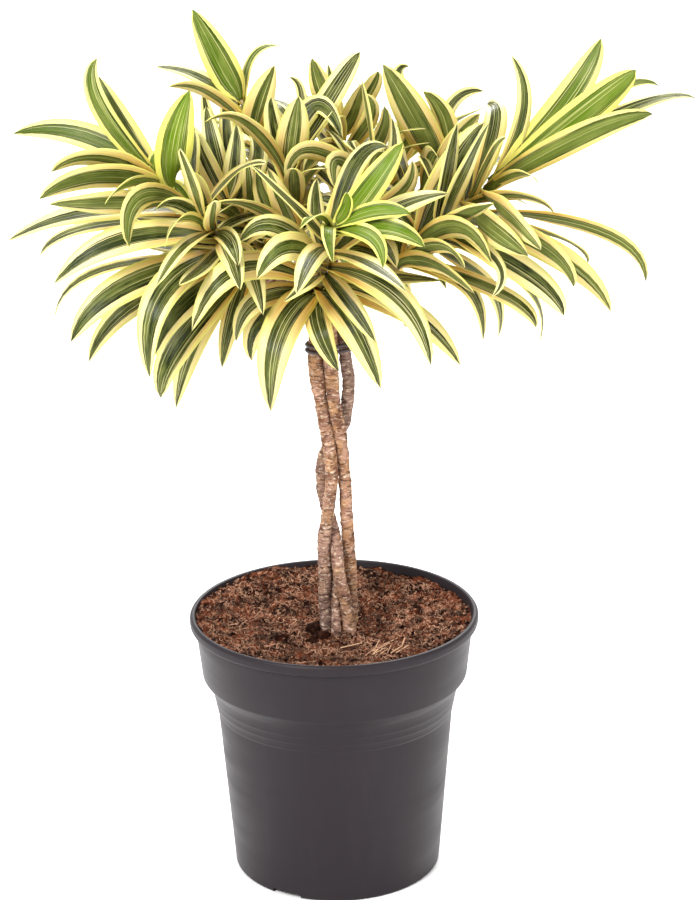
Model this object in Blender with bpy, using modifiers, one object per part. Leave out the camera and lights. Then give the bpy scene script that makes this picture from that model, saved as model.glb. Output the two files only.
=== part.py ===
"""Potted song of india dracaena.

A grower's pot filled with coir, four canes braided together and tied, and thirteen leafy shoots.
Metres, +Z up. The origin is the centre of the pot's foot, and the front of the plant faces -Y.
"""
import math
import random
from collections import namedtuple

import bmesh
import bpy
from mathutils import Matrix, Vector
from mathutils.bvhtree import BVHTree

MM = 0.001
UP = Vector((0, 0, 1))
SEAT_GAP = 0.3 * MM

# Pot: a moulded grower's pot 24 cm across the rim.
POT_HEIGHT = 225 * MM
RIM_RADIUS = 120 * MM
RIM_BEAD = 9.5 * MM
POT_WALL = 2.2 * MM
COLLAR_TOP_RADIUS = 115.2 * MM
COLLAR_FOOT_RADIUS = 110.4 * MM
COLLAR_FOOT = 172.5 * MM
SHOULDER_FOOT_RADIUS = 102.6 * MM
SHOULDER_FOOT = 162 * MM
BODY_TOP_RADIUS = 98 * MM
BODY_TOP = 139 * MM
FOOT_RADIUS = 86 * MM
FOOT_WIDTH = 6.5 * MM
FLOOR_UNDERSIDE = 5.5 * MM
FLOOR_TOP = 8 * MM
PAD_RADIUS = 24 * MM
PAD_TOP = 2.4 * MM
POT_SIDES = 32
FOOT_NOTCHES = (-120, 0, 120)
NOTCH_WIDTH = 26 * MM
NOTCH_HEIGHT = 4 * MM
DRAIN_HOLES = 6
DRAIN_RADIUS = 4.5 * MM
DRAIN_CIRCLE = 48 * MM

# Coir: its surface is a little mounded and lies just under the rim.
SOIL_EDGE = 221.5 * MM
SOIL_DISH = 11 * MM
SOIL_SIDES = 24
SOIL_RINGS = 4
SOIL_RELIEF = 3 * MM
SOIL_MOUND = (-44 * MM, 84 * MM, 24 * MM, 6 * MM)
SOIL_WALL_GAP = 0.9 * MM
CANE_HOLE_CLEARANCE = 1.3 * MM

# Canes: radius, then the way from the tie down to the foot as (x, y, z) in millimetres.
CANE_TOP = 474
CANE_FOOT = 150
CANE_STEP = 15
CANE_SPACING = 1.08
CANES = {
    "cane_1": (5.2, [(-11.2, -1, 474), (-11.3, -1, 456), (-11.5, -2, 438), (-10.3, -3, 427),
                     (-8.3, -4, 410), (-6.4, -5, 400), (-3.7, -7, 385), (-1.9, -8.7, 371),
                     (-0.3, -9, 355), (-0.4, -8.5, 339), (-2, -7, 328), (-4.3, -5, 310),
                     (-6.8, -4, 285), (-7.2, -3.5, 268), (-6.6, -3, 240), (-6.7, -3, 205),
                     (-7, -3, 150)]),
    "cane_2": (5.2, [(0.3, -7.8, 474), (0.2, -7.6, 456), (0.4, -6.6, 438), (1.5, -6.5, 427),
                     (2.4, -7, 410), (4, -7, 397), (6.6, -6, 383), (8, -4.3, 370), (9.3, -2.5, 354),
                     (10.6, -1, 338), (11, 0, 325), (11.2, 1, 312), (12.2, 3, 295), (13.1, 5, 276),
                     (14.3, 8, 255), (14.6, 10, 225), (14, 11, 150)]),
    "cane_3": (5.1, [(11, 0, 474), (11.6, 0, 450), (13.4, 0, 437), (14.7, 0.5, 425),
                     (14.2, 1.2, 415), (13.2, 2.4, 406), (11.6, 5.5, 393), (7.5, 9, 380),
                     (0, 10.5, 371), (-5.5, 8, 362), (-7.6, 5, 352), (-8, 3.7, 340), (-7.7, 4.5, 330),
                     (-6, 7, 319), (-3, 6, 306), (-0.2, 2, 294), (2, -4, 282), (3.8, -8, 267),
                     (6.5, -8.5, 250), (9.9, -9, 229), (13, -9, 211), (14.5, -9, 150)]),
    "cane_4": (3.7, [(2, 7, 474), (2.5, 7.5, 456), (2.5, 9, 440), (1, 11, 420), (0, 13.5, 398),
                     (0, 16, 382), (-0.5, 18.5, 370), (-0.5, 15.5, 355), (-1.5, 13, 340),
                     (-3, 15, 325), (-4, 16.5, 312), (-4, 14, 298), (-3, 10, 284), (-1, 5, 268),
                     (1, 1, 250), (1.5, -5, 236), (1.5, -12, 220), (1.5, -16, 205), (1.5, -17, 150)]),
}
BRANCH_RADIUS = 3.7 * MM
BRANCH_STATIONS = (0, 0.16, 0.33, 0.5, 0.67, 0.83, 0.97, 1)

# Tie: two turns of dark cord round the canes.
TIE_HEIGHT = 455 * MM
TIE_CORD = 1.5 * MM
TIE_TURNS = 2
TIE_PITCH = 4.6 * MM
TIE_STEPS = 16
TIE_EASE = 1.025

# The front view that the leaves are laid out in: 698 x 900 pixels, from a standing viewer.
VIEW_CENTRE = (349, 450)
VIEW_FOCAL = 2854
VIEW_DISTANCE = 2.2
VIEW_HEIGHT = 1.12
VIEW_TURN = 0.37
VIEW_PITCH = 18.93
VIEW_ROLL = -0.76

# Leafy shoots: the cane each grows from, its foot and its growing point as (pixel right, pixel
# down, millimetres nearer the viewer than the trunk), how many leaves, its first leaf's turn and how
# far its oldest leaves spread.
Shoot = namedtuple("Shoot", "cane foot tip leaves turn spread")
SHOOTS = {
    "head_01": Shoot("cane_1", (230, 243, 15), (153, 174, 55), 26, 20, 1.0),
    "head_02": Shoot("cane_1", (252, 268, 50), (203, 222, 95), 26, 140, 1.0),
    "head_03": Shoot("cane_2", (317, 294, 60), (334, 224, 112), 30, 250, 1.0),
    "head_04": Shoot("cane_3", (420, 236, 5), (497, 181, 20), 28, 310, 0.9),
    "head_05": Shoot("cane_3", (392, 268, 40), (447, 222, 78), 26, 60, 1.0),
    "head_06": Shoot("cane_1", (272, 192, -25), (241, 100, -20), 18, 80, 0.75),
    "head_07": Shoot("cane_1", (268, 256, -20), (224, 200, 15), 24, 204, 0.6),
    "head_08": Shoot("cane_2", (302, 248, 5), (286, 165, 10), 26, 110, 0.6),
    "head_09": Shoot("cane_4", (336, 216, -35), (340, 122, -50), 24, 170, 0.65),
    "head_10": Shoot("cane_3", (392, 238, -40), (447, 166, -50), 24, 30, 0.7),
    "head_11": Shoot("cane_4", (296, 236, -65), (262, 160, -115), 23, 290, 1.0),
    "head_12": Shoot("cane_4", (366, 236, -70), (398, 158, -120), 22, 350, 1.0),
    "head_13": Shoot("cane_2", (356, 250, 15), (378, 172, 5), 25, 45, 0.65),
}
SHOOT_FOOT_RADIUS = 5 * MM
STEM_REACH = 1.25
STEM_SIDES = 4

# Leaves that the front view shows singly: the shoot, how far up it the leaf sits (0 to 1), its
# tip and its middle as (pixel right, pixel down, millimetres nearer), width in millimetres, and
# how squarely its face meets the viewer (0 to 1).
SeenLeaf = namedtuple("SeenLeaf", "shoot share tip middle width facing")
SEEN_LEAVES = [
    SeenLeaf("head_01", 0.45, (8, 241, 75), (88, 213, 65), 23, 0.35),
    SeenLeaf("head_01", 0.93, (13, 134, 20), (84, 135, 35), 22, 0.3),
    SeenLeaf("head_01", 0.90, (98, 76, 20), (119, 124, 35), 24, 0.9),
    SeenLeaf("head_01", 0.96, (97, 58, 40), (99, 105, 50), 16, 0.4),
    SeenLeaf("head_01", 0.75, (190, 90, 60), (175, 141, 70), 29, 0.9),
    SeenLeaf("head_01", 0.88, (51, 172, 70), (99, 158, 70), 22, 0.45),
    SeenLeaf("head_01", 0.80, (39, 199, 84), (98, 177, 84), 25, 0.5),
    SeenLeaf("head_01", 0.60, (49, 204, 100), (117, 203, 92), 25, 0.5),
    SeenLeaf("head_01", 0.88, (105, 204, 111), (128, 184, 98), 13, 0.3),
    SeenLeaf("head_01", 0.98, (179, 164, 51), (158, 156, 51), 11, 0.6),
    SeenLeaf("head_01", 0.61, (129, 247, 132), (138, 200, 128), 20, 0.7),
    SeenLeaf("head_01", 0.35, (40, 256, 10), (88, 227, 20), 16, 0.15),
    SeenLeaf("head_01", 0.945, (157, 152, 40), (157, 167, 41), 14, 0.8),
    SeenLeaf("head_01", 0.81, (194, 213, 46), (176, 190, 47), 15, 0.7),
    SeenLeaf("head_02", 0.70, (54, 284, 115), (122, 240, 110), 25, 0.5),
    SeenLeaf("head_02", 0.12, (54, 325, 30), (103, 269, 40), 11, 0.2),
    SeenLeaf("head_02", 0.25, (71, 342, 120), (129, 284, 105), 26, 0.7),
    SeenLeaf("head_02", 0.15, (89, 362, 85), (138, 301, 80), 21, 0.6),
    SeenLeaf("head_02", 0.40, (150, 378, 140), (162, 294, 130), 26, 0.7),
    SeenLeaf("head_02", 0.05, (154, 357, 110), (185, 302, 100), 24, 0.7),
    SeenLeaf("head_02", 0.02, (161, 398, 90), (181, 341, 85), 26, 0.7),
    SeenLeaf("head_02", 0.08, (176, 408, 50), (199, 332, 55), 23, 0.6),
    SeenLeaf("head_02", 0.03, (222, 368, 60), (232, 316, 60), 17, 0.6),
    SeenLeaf("head_02", 0.92, (165, 247, 130), (180, 219, 120), 12, 0.3),
    SeenLeaf("head_02", 0.75, (238, 266, 140), (230, 240, 130), 15, 0.6),
    SeenLeaf("head_03", 0.12, (192, 331, 130), (240, 268, 120), 24, 0.5),
    SeenLeaf("head_03", 0.06, (271, 412, 130), (279, 334, 120), 29, 0.9),
    SeenLeaf("head_03", 0.03, (339, 371, 120), (319, 327, 112), 20, 0.95),
    SeenLeaf("head_03", 0.10, (381, 389, 130), (351, 321, 122), 26, 0.85),
    SeenLeaf("head_03", 0.02, (236, 342, 92), (258, 300, 99), 18, 0.8),
    SeenLeaf("head_03", 0.07, (252, 361, 70), (262, 320, 80), 20, 0.6),
    SeenLeaf("head_03", 0.40, (431, 366, 145), (397, 297, 135), 22, 0.7),
    SeenLeaf("head_03", 0.10, (461, 366, 60), (405, 310, 65), 22, 0.5),
    SeenLeaf("head_03", 0.45, (257, 279, 150), (287, 247, 140), 23, 0.8),
    SeenLeaf("head_03", 0.46, (240, 242, 120), (275, 226, 120), 18, 0.6),
    SeenLeaf("head_03", 0.90, (300, 229, 150), (316, 216, 140), 14, 0.4),
    SeenLeaf("head_03", 0.93, (333, 263, 155), (328, 232, 150), 12, 0.3),
    SeenLeaf("head_03", 0.80, (403, 142, 95), (372, 185, 105), 22, 0.85),
    SeenLeaf("head_03", 0.95, (411, 214, 140), (375, 211, 135), 17, 0.5),
    SeenLeaf("head_03", 0.87, (425, 247, 150), (385, 228, 145), 20, 0.5),
    SeenLeaf("head_03", 0.92, (383, 268, 164), (371, 236, 154), 14, 0.5),
    SeenLeaf("head_03", 0.99, (346, 192, 125), (346, 208, 120), 12, 0.6),
    SeenLeaf("head_03", 0.30, (284, 302, 135), (307, 284, 130), 12, 0.3),
    SeenLeaf("head_03", 0.20, (441, 281, 45), (388, 278, 50), 17, 0.2),
    SeenLeaf("head_03", 0.16, (418, 335, 80), (378, 297, 85), 14, 0.2),
    SeenLeaf("head_03", 0.70, (388, 147, 60), (355, 165, 80), 16, 0.5),
    SeenLeaf("head_03", 0.50, (317, 178, 70), (316, 215, 75), 14, 0.8),
    SeenLeaf("head_04", 0.93, (636, 70, 30), (588, 110, 40), 27, 0.8),
    SeenLeaf("head_04", 0.96, (601, 38, -24), (568, 99, -10), 26, 0.8),
    SeenLeaf("head_04", 0.89, (659, 86, -17), (600, 98, -4), 9, 0.3),
    SeenLeaf("head_04", 0.84, (653, 114, 55), (586, 134, 62), 21, 0.7),
    SeenLeaf("head_04", 0.80, (695, 98, -20), (622, 112, -15), 13, 0.1),
    SeenLeaf("head_04", 0.90, (511, 55, -10), (523, 112, 0), 14, 0.5),
    SeenLeaf("head_04", 0.65, (487, 104, -55), (495, 124, -20), 20, 0.8),
    SeenLeaf("head_04", 0.60, (554, 213, 60), (522, 196, 55), 13, 0.3),
    SeenLeaf("head_04", 0.88, (539, 186, 55), (522, 174, 45), 11, 0.1),
    SeenLeaf("head_04", 0.45, (646, 282, 60), (598, 230, 60), 16, 0.5),
    SeenLeaf("head_04", 0.35, (611, 312, 80), (556, 255, 78), 23, 0.7),
    SeenLeaf("head_04", 0.40, (588, 263, 66), (555, 236, 62), 12, 0.3),
    SeenLeaf("head_04", 0.41, (574, 287, 104), (539, 245, 104), 22, 0.6),
    SeenLeaf("head_04", 0.79, (541, 250, 138), (513, 220, 122), 20, 0.6),
    SeenLeaf("head_04", 0.55, (528, 256, 131), (493, 230, 118), 22, 0.7),
    SeenLeaf("head_05", 0.40, (484, 122, 50), (450, 172, 65), 26, 0.9),
    SeenLeaf("head_05", 0.30, (491, 262, 105), (455, 226, 95), 18, 0.4),
    SeenLeaf("head_05", 0.15, (465, 269, 110), (440, 246, 100), 14, 0.4),
    SeenLeaf("head_05", 0.05, (475, 294, 90), (430, 263, 80), 18, 0.4),
    SeenLeaf("head_05", 0.10, (483, 341, 56), (464, 285, 54), 16, 0.4),
    SeenLeaf("head_05", 0.20, (536, 328, 64), (502, 294, 58), 17, 0.3),
    SeenLeaf("head_05", 0.70, (538, 346, 60), (524, 283, 65), 12, 0.2),
    SeenLeaf("head_05", 0.85, (564, 316, 94), (528, 274, 82), 23, 0.6),
    SeenLeaf("head_05", 0.95, (492, 297, 120), (497, 262, 112), 12, 0.2),
    SeenLeaf("head_05", 0.54, (498, 337, 14), (488, 285, 17), 16, 0.5),
    SeenLeaf("head_06", 0.96, (192, 9, -20), (219, 60, -20), 26, 0.9),
    SeenLeaf("head_06", 0.92, (281, 46, -40), (252, 58, -40), 9, 0.0),
    SeenLeaf("head_06", 0.85, (156, 67, -10), (203, 79, -15), 16, 0.4),
    SeenLeaf("head_06", 0.70, (168, 87, 5), (206, 92, -5), 17, 0.4),
    SeenLeaf("head_06", 0.60, (275, 65, 0), (259, 105, 0), 23, 0.85),
    SeenLeaf("head_07", 0.90, (193, 125, 15), (205, 160, 20), 17, 0.7),
    SeenLeaf("head_07", 0.95, (236, 124, 15), (235, 165, 25), 18, 0.9),
    SeenLeaf("head_07", 0.88, (206, 106, -15), (214, 150, 5), 17, 0.8),
    SeenLeaf("head_07", 0.88, (203, 92, -6), (213, 140, 0), 14, 0.6),
    SeenLeaf("head_07", 0.75, (224, 98, -14), (228, 142, -6), 14, 0.7),
    SeenLeaf("head_07", 0.85, (248, 128, -5), (258, 160, 5), 16, 0.8),
    SeenLeaf("head_07", 0.40, (246, 158, 30), (250, 190, 30), 12, 0.7),
    SeenLeaf("head_08", 0.85, (205, 122, 60), (246, 123, 45), 16, 0.3),
    SeenLeaf("head_08", 0.90, (299, 96, 15), (293, 135, 18), 26, 0.95),
    SeenLeaf("head_08", 0.60, (271, 97, -12), (275, 132, -4), 17, 0.85),
    SeenLeaf("head_08", 0.86, (289, 77, -30), (302, 104, -25), 9, 0.5),
    SeenLeaf("head_08", 0.95, (343, 139, 18), (314, 106, -9), 18, 0.6),
    SeenLeaf("head_08", 0.94, (360, 52, -34), (333, 92, -19), 20, 0.8),
    SeenLeaf("head_08", 0.10, (258, 166, 45), (268, 206, 50), 16, 0.9),
    SeenLeaf("head_08", 0.11, (268, 168, 73), (283, 205, 68), 18, 0.9),
    SeenLeaf("head_08", 0.05, (205, 208, 100), (252, 206, 85), 13, 0.2),
    SeenLeaf("head_09", 0.97, (312, 58, -55), (323, 92, -52), 20, 0.8),
    SeenLeaf("head_09", 0.80, (363, 83, -40), (354, 112, -42), 18, 0.7),
    SeenLeaf("head_09", 0.70, (303, 172, 30), (322, 150, 5), 18, 0.6),
    SeenLeaf("head_09", 0.30, (384, 106, -20), (378, 142, -15), 15, 0.8),
    SeenLeaf("head_09", 0.90, (378, 71, -50), (368, 94, -50), 17, 0.7),
    SeenLeaf("head_09", 0.93, (328, 64, -64), (334, 98, -60), 12, 0.7),
    SeenLeaf("head_09", 0.60, (363, 94, -15), (370, 118, -20), 14, 0.8),
    SeenLeaf("head_13", 0.80, (286, 180, 40), (312, 150, 38), 17, 0.6),
    SeenLeaf("head_13", 0.75, (336, 190, 45), (338, 160, 40), 16, 0.8),
    SeenLeaf("head_13", 0.92, (358, 154, 30), (350, 143, 25), 11, 0.5),
    SeenLeaf("head_13", 0.50, (412, 160, 15), (404, 190, 25), 15, 0.7),
    SeenLeaf("head_13", 0.60, (392, 118, -20), (392, 160, -5), 15, 0.6),
    SeenLeaf("head_10", 0.93, (383, 64, -30), (414, 117, -32), 29, 0.95),
    SeenLeaf("head_10", 0.97, (423, 91, -40), (446, 122, -42), 19, 0.8),
    SeenLeaf("head_10", 0.75, (484, 91, -80), (448, 110, -68), 14, 0.6),
    SeenLeaf("head_10", 0.76, (409, 66, -80), (399, 92, -72), 15, 0.5),
]

# The crown's dense part in the front view. Only the leaves listed above reach past it.
CROWN_EDGE = [
    (62, 206), (78, 172), (98, 150), (146, 150), (160, 160), (192, 128), (202, 104), (245, 96),
    (262, 84), (282, 100), (300, 90), (330, 96), (356, 76), (377, 88), (402, 92), (425, 116),
    (455, 116), (482, 104), (502, 110), (522, 142), (560, 132), (600, 126), (560, 170),
    (566, 215), (600, 250), (560, 262), (520, 258), (492, 250), (474, 262), (468, 300),
    (440, 290), (420, 310), (400, 345), (372, 350), (345, 335), (318, 345), (290, 352),
    (268, 345), (250, 312), (222, 318), (200, 352), (172, 372), (148, 350), (118, 322),
    (92, 330), (112, 290), (130, 262), (84, 236),
]

# Leaves: lance-shaped, channelled, stiffly arching.
LEAF_LENGTH = 128 * MM
LEAF_WIDTH = 20 * MM
SEEN_WIDTH_SHARE = 1.0
LEAF_THICKNESS = 1.2 * MM
LEAF_CHANNEL = 0.13
STRAIGHT_STATIONS = (0.16, 0.52)
ARCHED_STATIONS = (0.13, 0.42, 0.72)
HOOKED_STATIONS = (0.12, 0.34, 0.58, 0.80)
LEAF_SPARE_WIDTH = 1.3 * MM
LEAF_SPARE_THICKNESS = 2.0 * MM
CROWDED_SHARE = 0.07
ROD_SIDES = 8
ROD_SPARE = 0.6 * MM
GOLDEN_ANGLE = 137.5
TRIES = 24
DEPTH_STEP = 7
SIDE_STEPS = 20
LEVEL_EASE = 0.06


def view_axes():
    """The front view's rightward, upward and forward directions."""
    turn = math.radians(VIEW_TURN)
    pitch = math.radians(VIEW_PITCH)
    roll = math.radians(VIEW_ROLL)
    ahead = Vector((math.sin(turn) * math.cos(pitch), math.cos(turn) * math.cos(pitch), -math.sin(pitch)))
    level = Vector((math.cos(turn), -math.sin(turn), 0))
    upright = level.cross(ahead)
    rightward = level * math.cos(roll) + upright * math.sin(roll)
    upward = upright * math.cos(roll) - level * math.sin(roll)
    return rightward, upward, ahead


EYE = Vector((0, -VIEW_DISTANCE, VIEW_HEIGHT))
VIEW_AXES = view_axes()


def seen_point(spot):
    """The point that the front view shows at a pixel, so many millimetres nearer than the trunk."""
    across, down, nearer = spot
    rightward, upward, ahead = VIEW_AXES
    ray = ahead + rightward * ((across - VIEW_CENTRE[0]) / VIEW_FOCAL)
    ray += upward * ((VIEW_CENTRE[1] - down) / VIEW_FOCAL)
    return EYE + ray * ((-nearer * MM - EYE.y) / ray.y)


def pixel_of(point):
    """The front view's pixel for a point."""
    rightward, upward, ahead = VIEW_AXES
    ray = point - EYE
    scale = VIEW_FOCAL / ray.dot(ahead)
    return VIEW_CENTRE[0] + ray.dot(rightward) * scale, VIEW_CENTRE[1] - ray.dot(upward) * scale


def inside_outline(spot, outline):
    """Whether a pixel lies inside a closed outline."""
    inside = False
    for (x0, y0), (x1, y1) in zip(outline, outline[1:] + outline[:1]):
        if (y0 > spot[1]) != (y1 > spot[1]) and spot[0] < x0 + (spot[1] - y0) * (x1 - x0) / (y1 - y0):
            inside = not inside
    return inside


def arc_point(arc, t):
    """A point on a parabolic arc given by its start, its bend point and its end."""
    start, bend, end = arc
    return start * (1 - t) ** 2 + bend * (2 * t * (1 - t)) + end * t ** 2


def arc_heading(arc, t):
    start, bend, end = arc
    return ((bend - start) * (1 - t) + (end - bend) * t).normalized()


def square_to(vector, direction):
    """The part of a vector that is square to a direction, at unit length."""
    return (vector - direction * vector.dot(direction)).normalized()


def shoot_arc(shoot):
    """A shoot's axis, straight from its foot to its growing point."""
    foot = seen_point(shoot.foot)
    tip = seen_point(shoot.tip)
    return foot, (foot + tip) / 2, tip


Blade = namedtuple("Blade", "arc sides width stations")


def width_share(t):
    """A leaf's width along its length, as a share of its widest."""
    return (t + 0.02) ** 0.55 * (1 - t) ** 0.72


def stations_for(arc):
    """Where a blade has its sections: the more it bends, the more of them."""
    bend = math.degrees(arc_heading(arc, 0).angle(arc_heading(arc, 1)))
    if bend < 20:
        return STRAIGHT_STATIONS
    return ARCHED_STATIONS if bend < 62 else HOOKED_STATIONS


WIDEST = max(width_share(step / 100) for step in range(100))


def carried_sides(arc, side, facing):
    """A blade's sideways directions along its length: eased level, and turned to face the viewer.

    Each is carried on from the one before, so that a blade never turns over.
    """
    sides = []
    flat = side
    for step in range(SIDE_STEPS + 1):
        t = step / SIDE_STEPS
        heading = arc_heading(arc, t)
        side = square_to(side, heading)
        level = heading.cross(UP)
        if level.dot(side) < 0:
            level.negate()
        side = square_to(side.lerp(level, LEVEL_EASE * level.length), heading)
        across = heading.cross((EYE - arc_point(arc, t)).normalized())
        if across.dot(flat if step else side) < 0:
            across.negate()
        flat = across
        weight = facing * min(1, t / 0.3) * min(1, flat.length / 0.3)
        sides.append(square_to(side.lerp(flat.normalized(), weight), heading))
    return sides


def blade_section(blade, t):
    """A blade's centre, its sideways direction and its upper face's normal at a share of its length."""
    heading = arc_heading(blade.arc, t)
    place = min(int(t * SIDE_STEPS), SIDE_STEPS - 1)
    side = blade.sides[place].lerp(blade.sides[place + 1], t * SIDE_STEPS - place)
    side = square_to(side, heading)
    return arc_point(blade.arc, t), side, heading.cross(side)


def spindle_faces(rings, corners):
    """Triangles of a loft from a root point, through rings of equal corners, to a tip point.

    Every other strip is split the other way, so that a blade's two faces fold alike.
    """
    root = rings * corners
    last = (rings - 1) * corners
    faces = []
    for step in range(corners):
        beside = (step + 1) % corners
        faces.append((root, step, beside))
        for here in range(step, last, corners):
            next_here = here - step + beside
            if step % 2:
                faces.append((next_here, here, here + corners))
                faces.append((next_here, here + corners, next_here + corners))
            else:
                faces.append((here, next_here + corners, next_here))
                faces.append((here, here + corners, next_here + corners))
        faces.append((last + beside, last + step, root + 1))
    return faces


def blade_loft(blade, first=0, spare_width=0, spare_thickness=0):
    """Corners and triangles of a blade: a shallow channel, thickest along its midrib."""
    corners = []
    for t in blade.stations:
        centre, side, normal = blade_section(blade, t)
        half = blade.width / 2 * width_share(t) / WIDEST
        lift = normal * (LEAF_CHANNEL * 2 * half * (1 - 0.5 * t))
        reach = side * (half + spare_width)
        rib = normal * ((LEAF_THICKNESS + spare_thickness) / 2)
        corners.extend((centre - reach + lift, centre + rib, centre + reach + lift, centre - rib))
    corners.append(arc_point(blade.arc, first))
    corners.append(arc_point(blade.arc, 1))
    return corners, spindle_faces(len(blade.stations), 4)


def growing_frame(arc, share):
    """Where a leaf sits on its shoot, and the shoot's direction there."""
    return arc_point(arc, share), arc_heading(arc, share)


def seen_blade(leaf, stem, attempt):
    """A leaf drawn from the front view. Later attempts move it nearer or farther and turn it edge on."""
    root, along = growing_frame(stem, leaf.share)
    step = (attempt + 1) // 2 * DEPTH_STEP * (1 if attempt % 2 else -1)
    tip = seen_point((leaf.tip[0], leaf.tip[1], leaf.tip[2] + step))
    middle = seen_point((leaf.middle[0], leaf.middle[1], leaf.middle[2] + step * 0.6))
    bend = middle * 2 - (root + tip) / 2
    outward = square_to(bend - root, along)
    width = leaf.width * MM * SEEN_WIDTH_SHARE
    arc = (root, bend, tip)
    facing = leaf.facing * (1 - attempt / TRIES)
    return Blade(arc, carried_sides(arc, along.cross(outward), facing), width, stations_for(arc))


def grown_blade(stem, share, turn, spread, attempt, draw):
    """A leaf placed by the shoot's spiral: young ones stand up, old ones spread and hang."""
    root, along = growing_frame(stem, share)
    age = 1 - share
    turn += draw.uniform(-5, 5) * attempt
    level = square_to(UP if abs(along.z) < 0.9 else Vector((0, 1, 0)), along)
    outward = Matrix.Rotation(math.radians(turn), 3, along) @ level
    lean = math.radians(14 + 74 * spread * age ** 0.8 + draw.uniform(-7, 7))
    heading = along * math.cos(lean) + outward * math.sin(lean)
    length = LEAF_LENGTH * (0.6 + 0.4 * min(1, age / 0.2)) * draw.uniform(0.88, 1.12)
    length *= 1 - 0.02 * attempt
    droop = 0.06 + 0.40 * spread * age + draw.uniform(-0.06, 0.10) + draw.uniform(-0.03, 0.03) * attempt
    bend = root + heading * (length * 0.5)
    tip = root + (heading * (1 - 0.35 * droop) - UP * droop) * length
    width = LEAF_WIDTH * (0.72 + 0.28 * min(1, age / 0.3)) * draw.uniform(0.85, 1.12)
    arc = (root, bend, tip)
    return Blade(arc, carried_sides(arc, along.cross(outward), 0), width, stations_for(arc))


class Obstacle:
    """A placed solid that a new leaf keeps clear of."""

    def __init__(self, shoot, corners, faces, outer=None):
        self.shoot = shoot
        self.low = Vector(min(point[axis] for point in corners) for axis in range(3))
        self.high = Vector(max(point[axis] for point in corners) for axis in range(3))
        self.tree = BVHTree.FromPolygons(corners, faces)
        self.outer = outer

    def near(self, other):
        return all(self.low[axis] <= other.high[axis] and other.low[axis] <= self.high[axis]
                   for axis in range(3))


def placed(blade, shoot):
    outer = BVHTree.FromPolygons(*blade_loft(blade, first=CROWDED_SHARE))
    return Obstacle(shoot, *blade_loft(blade), outer)


def crosses_itself(corners, faces):
    """Whether a solid's surface passes through itself away from shared corners."""
    tree = BVHTree.FromPolygons(corners, faces)
    return any(not set(faces[one]) & set(faces[other]) for one, other in tree.overlap(tree))


def is_clear(blade, shoot, obstacles):
    """Whether a blade, with its spare room, crosses nothing outside its own shoot's centre."""
    if crosses_itself(*blade_loft(blade)):
        return False
    room = Obstacle(shoot, *blade_loft(blade, 0, LEAF_SPARE_WIDTH, LEAF_SPARE_THICKNESS))
    outer = BVHTree.FromPolygons(*blade_loft(blade, CROWDED_SHARE, LEAF_SPARE_WIDTH / 2, LEAF_SPARE_THICKNESS / 2))
    for other in obstacles:
        if not room.near(other):
            continue
        if other.shoot != shoot:
            if room.tree.overlap(other.tree):
                return False
        elif other.outer is not None and outer.overlap(other.outer):
            return False
    return True


class SeenLeaves:
    """The leaves that the front view shows, which later leaves may not cover."""

    SAMPLES = (0.3, 0.45, 0.6, 0.75, 0.9)

    def __init__(self):
        self.spots = []
        self.covered = []

    def add(self, blade):
        for t in self.SAMPLES:
            centre, side, normal = blade_section(blade, t)
            self.spots.append((len(self.spots) // len(self.SAMPLES), centre))
        self.covered.append(0)

    def cover(self, blade):
        """How many spots of each seen leaf a new blade would cover, or None where it is too many."""
        tree = BVHTree.FromPolygons(*blade_loft(blade))
        hits = {}
        for index, centre in self.spots:
            towards = (EYE - centre).normalized()
            if tree.ray_cast(centre + towards * (2 * MM), towards)[0] is not None:
                hits[index] = hits.get(index, 0) + 1
                if hits[index] + self.covered[index] > 1:
                    return None
        return hits


def lay_out_leaves(arcs, solids):
    """Places every leaf of every shoot clear of the others, and returns each shoot's blades."""
    blades = {name: [] for name in SHOOTS}
    obstacles = list(solids)
    seen = SeenLeaves()
    free = {name: list(range(shoot.leaves)) for name, shoot in SHOOTS.items()}
    for leaf in SEEN_LEAVES:
        count = SHOOTS[leaf.shoot].leaves
        for attempt in range(TRIES):
            blade = seen_blade(leaf, arcs[leaf.shoot], attempt)
            if is_clear(blade, leaf.shoot, obstacles):
                break
        else:
            continue
        blades[leaf.shoot].append(blade)
        obstacles.append(placed(blade, leaf.shoot))
        seen.add(blade)
        slots = free[leaf.shoot]
        slots.remove(min(slots, key=lambda slot: abs(slot / count - leaf.share)))
    most = max(shoot.leaves for shoot in SHOOTS.values())
    for rank in range(most):
        for name, shoot in SHOOTS.items():
            slot = shoot.leaves - 1 - rank
            if slot not in free[name]:
                continue
            blade = fitting_blade(name, slot, arcs[name], obstacles, seen)
            if blade is not None:
                blades[name].append(blade)
                obstacles.append(placed(blade, name))
    return blades


def fitting_blade(name, slot, arc, obstacles, seen):
    """The first attempt at a spiral's leaf that is clear, inside the crown and covers no seen leaf."""
    shoot = SHOOTS[name]
    draw = random.Random(f"{name} leaf {slot}")
    share = 0.02 + 0.96 * slot / shoot.leaves
    for attempt in range(TRIES):
        turn = shoot.turn + GOLDEN_ANGLE * slot
        blade = grown_blade(arc, share, turn, shoot.spread, attempt, draw)
        if not all(inside_outline(pixel_of(arc_point(blade.arc, t)), CROWN_EDGE) for t in (0.6, 0.8, 1)):
            continue
        if not is_clear(blade, name, obstacles):
            continue
        hits = seen.cover(blade)
        if hits is not None:
            for index, count in hits.items():
                seen.covered[index] += count
            return blade
    return None


def collection_named(name):
    group = bpy.data.collections.new(name)
    bpy.context.scene.collection.children.link(group)
    return group


def painted(name, colour, roughness):
    """A Principled material with the piece's own colour."""
    material = bpy.data.materials.new(name)
    material.use_nodes = True
    shader = material.node_tree.nodes["Principled BSDF"]
    shader.inputs["Base Color"].default_value = (*colour, 1)
    shader.inputs["Roughness"].default_value = roughness
    shader.inputs["Metallic"].default_value = 0
    material.diffuse_color = (*colour, 1)
    return material


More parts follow.
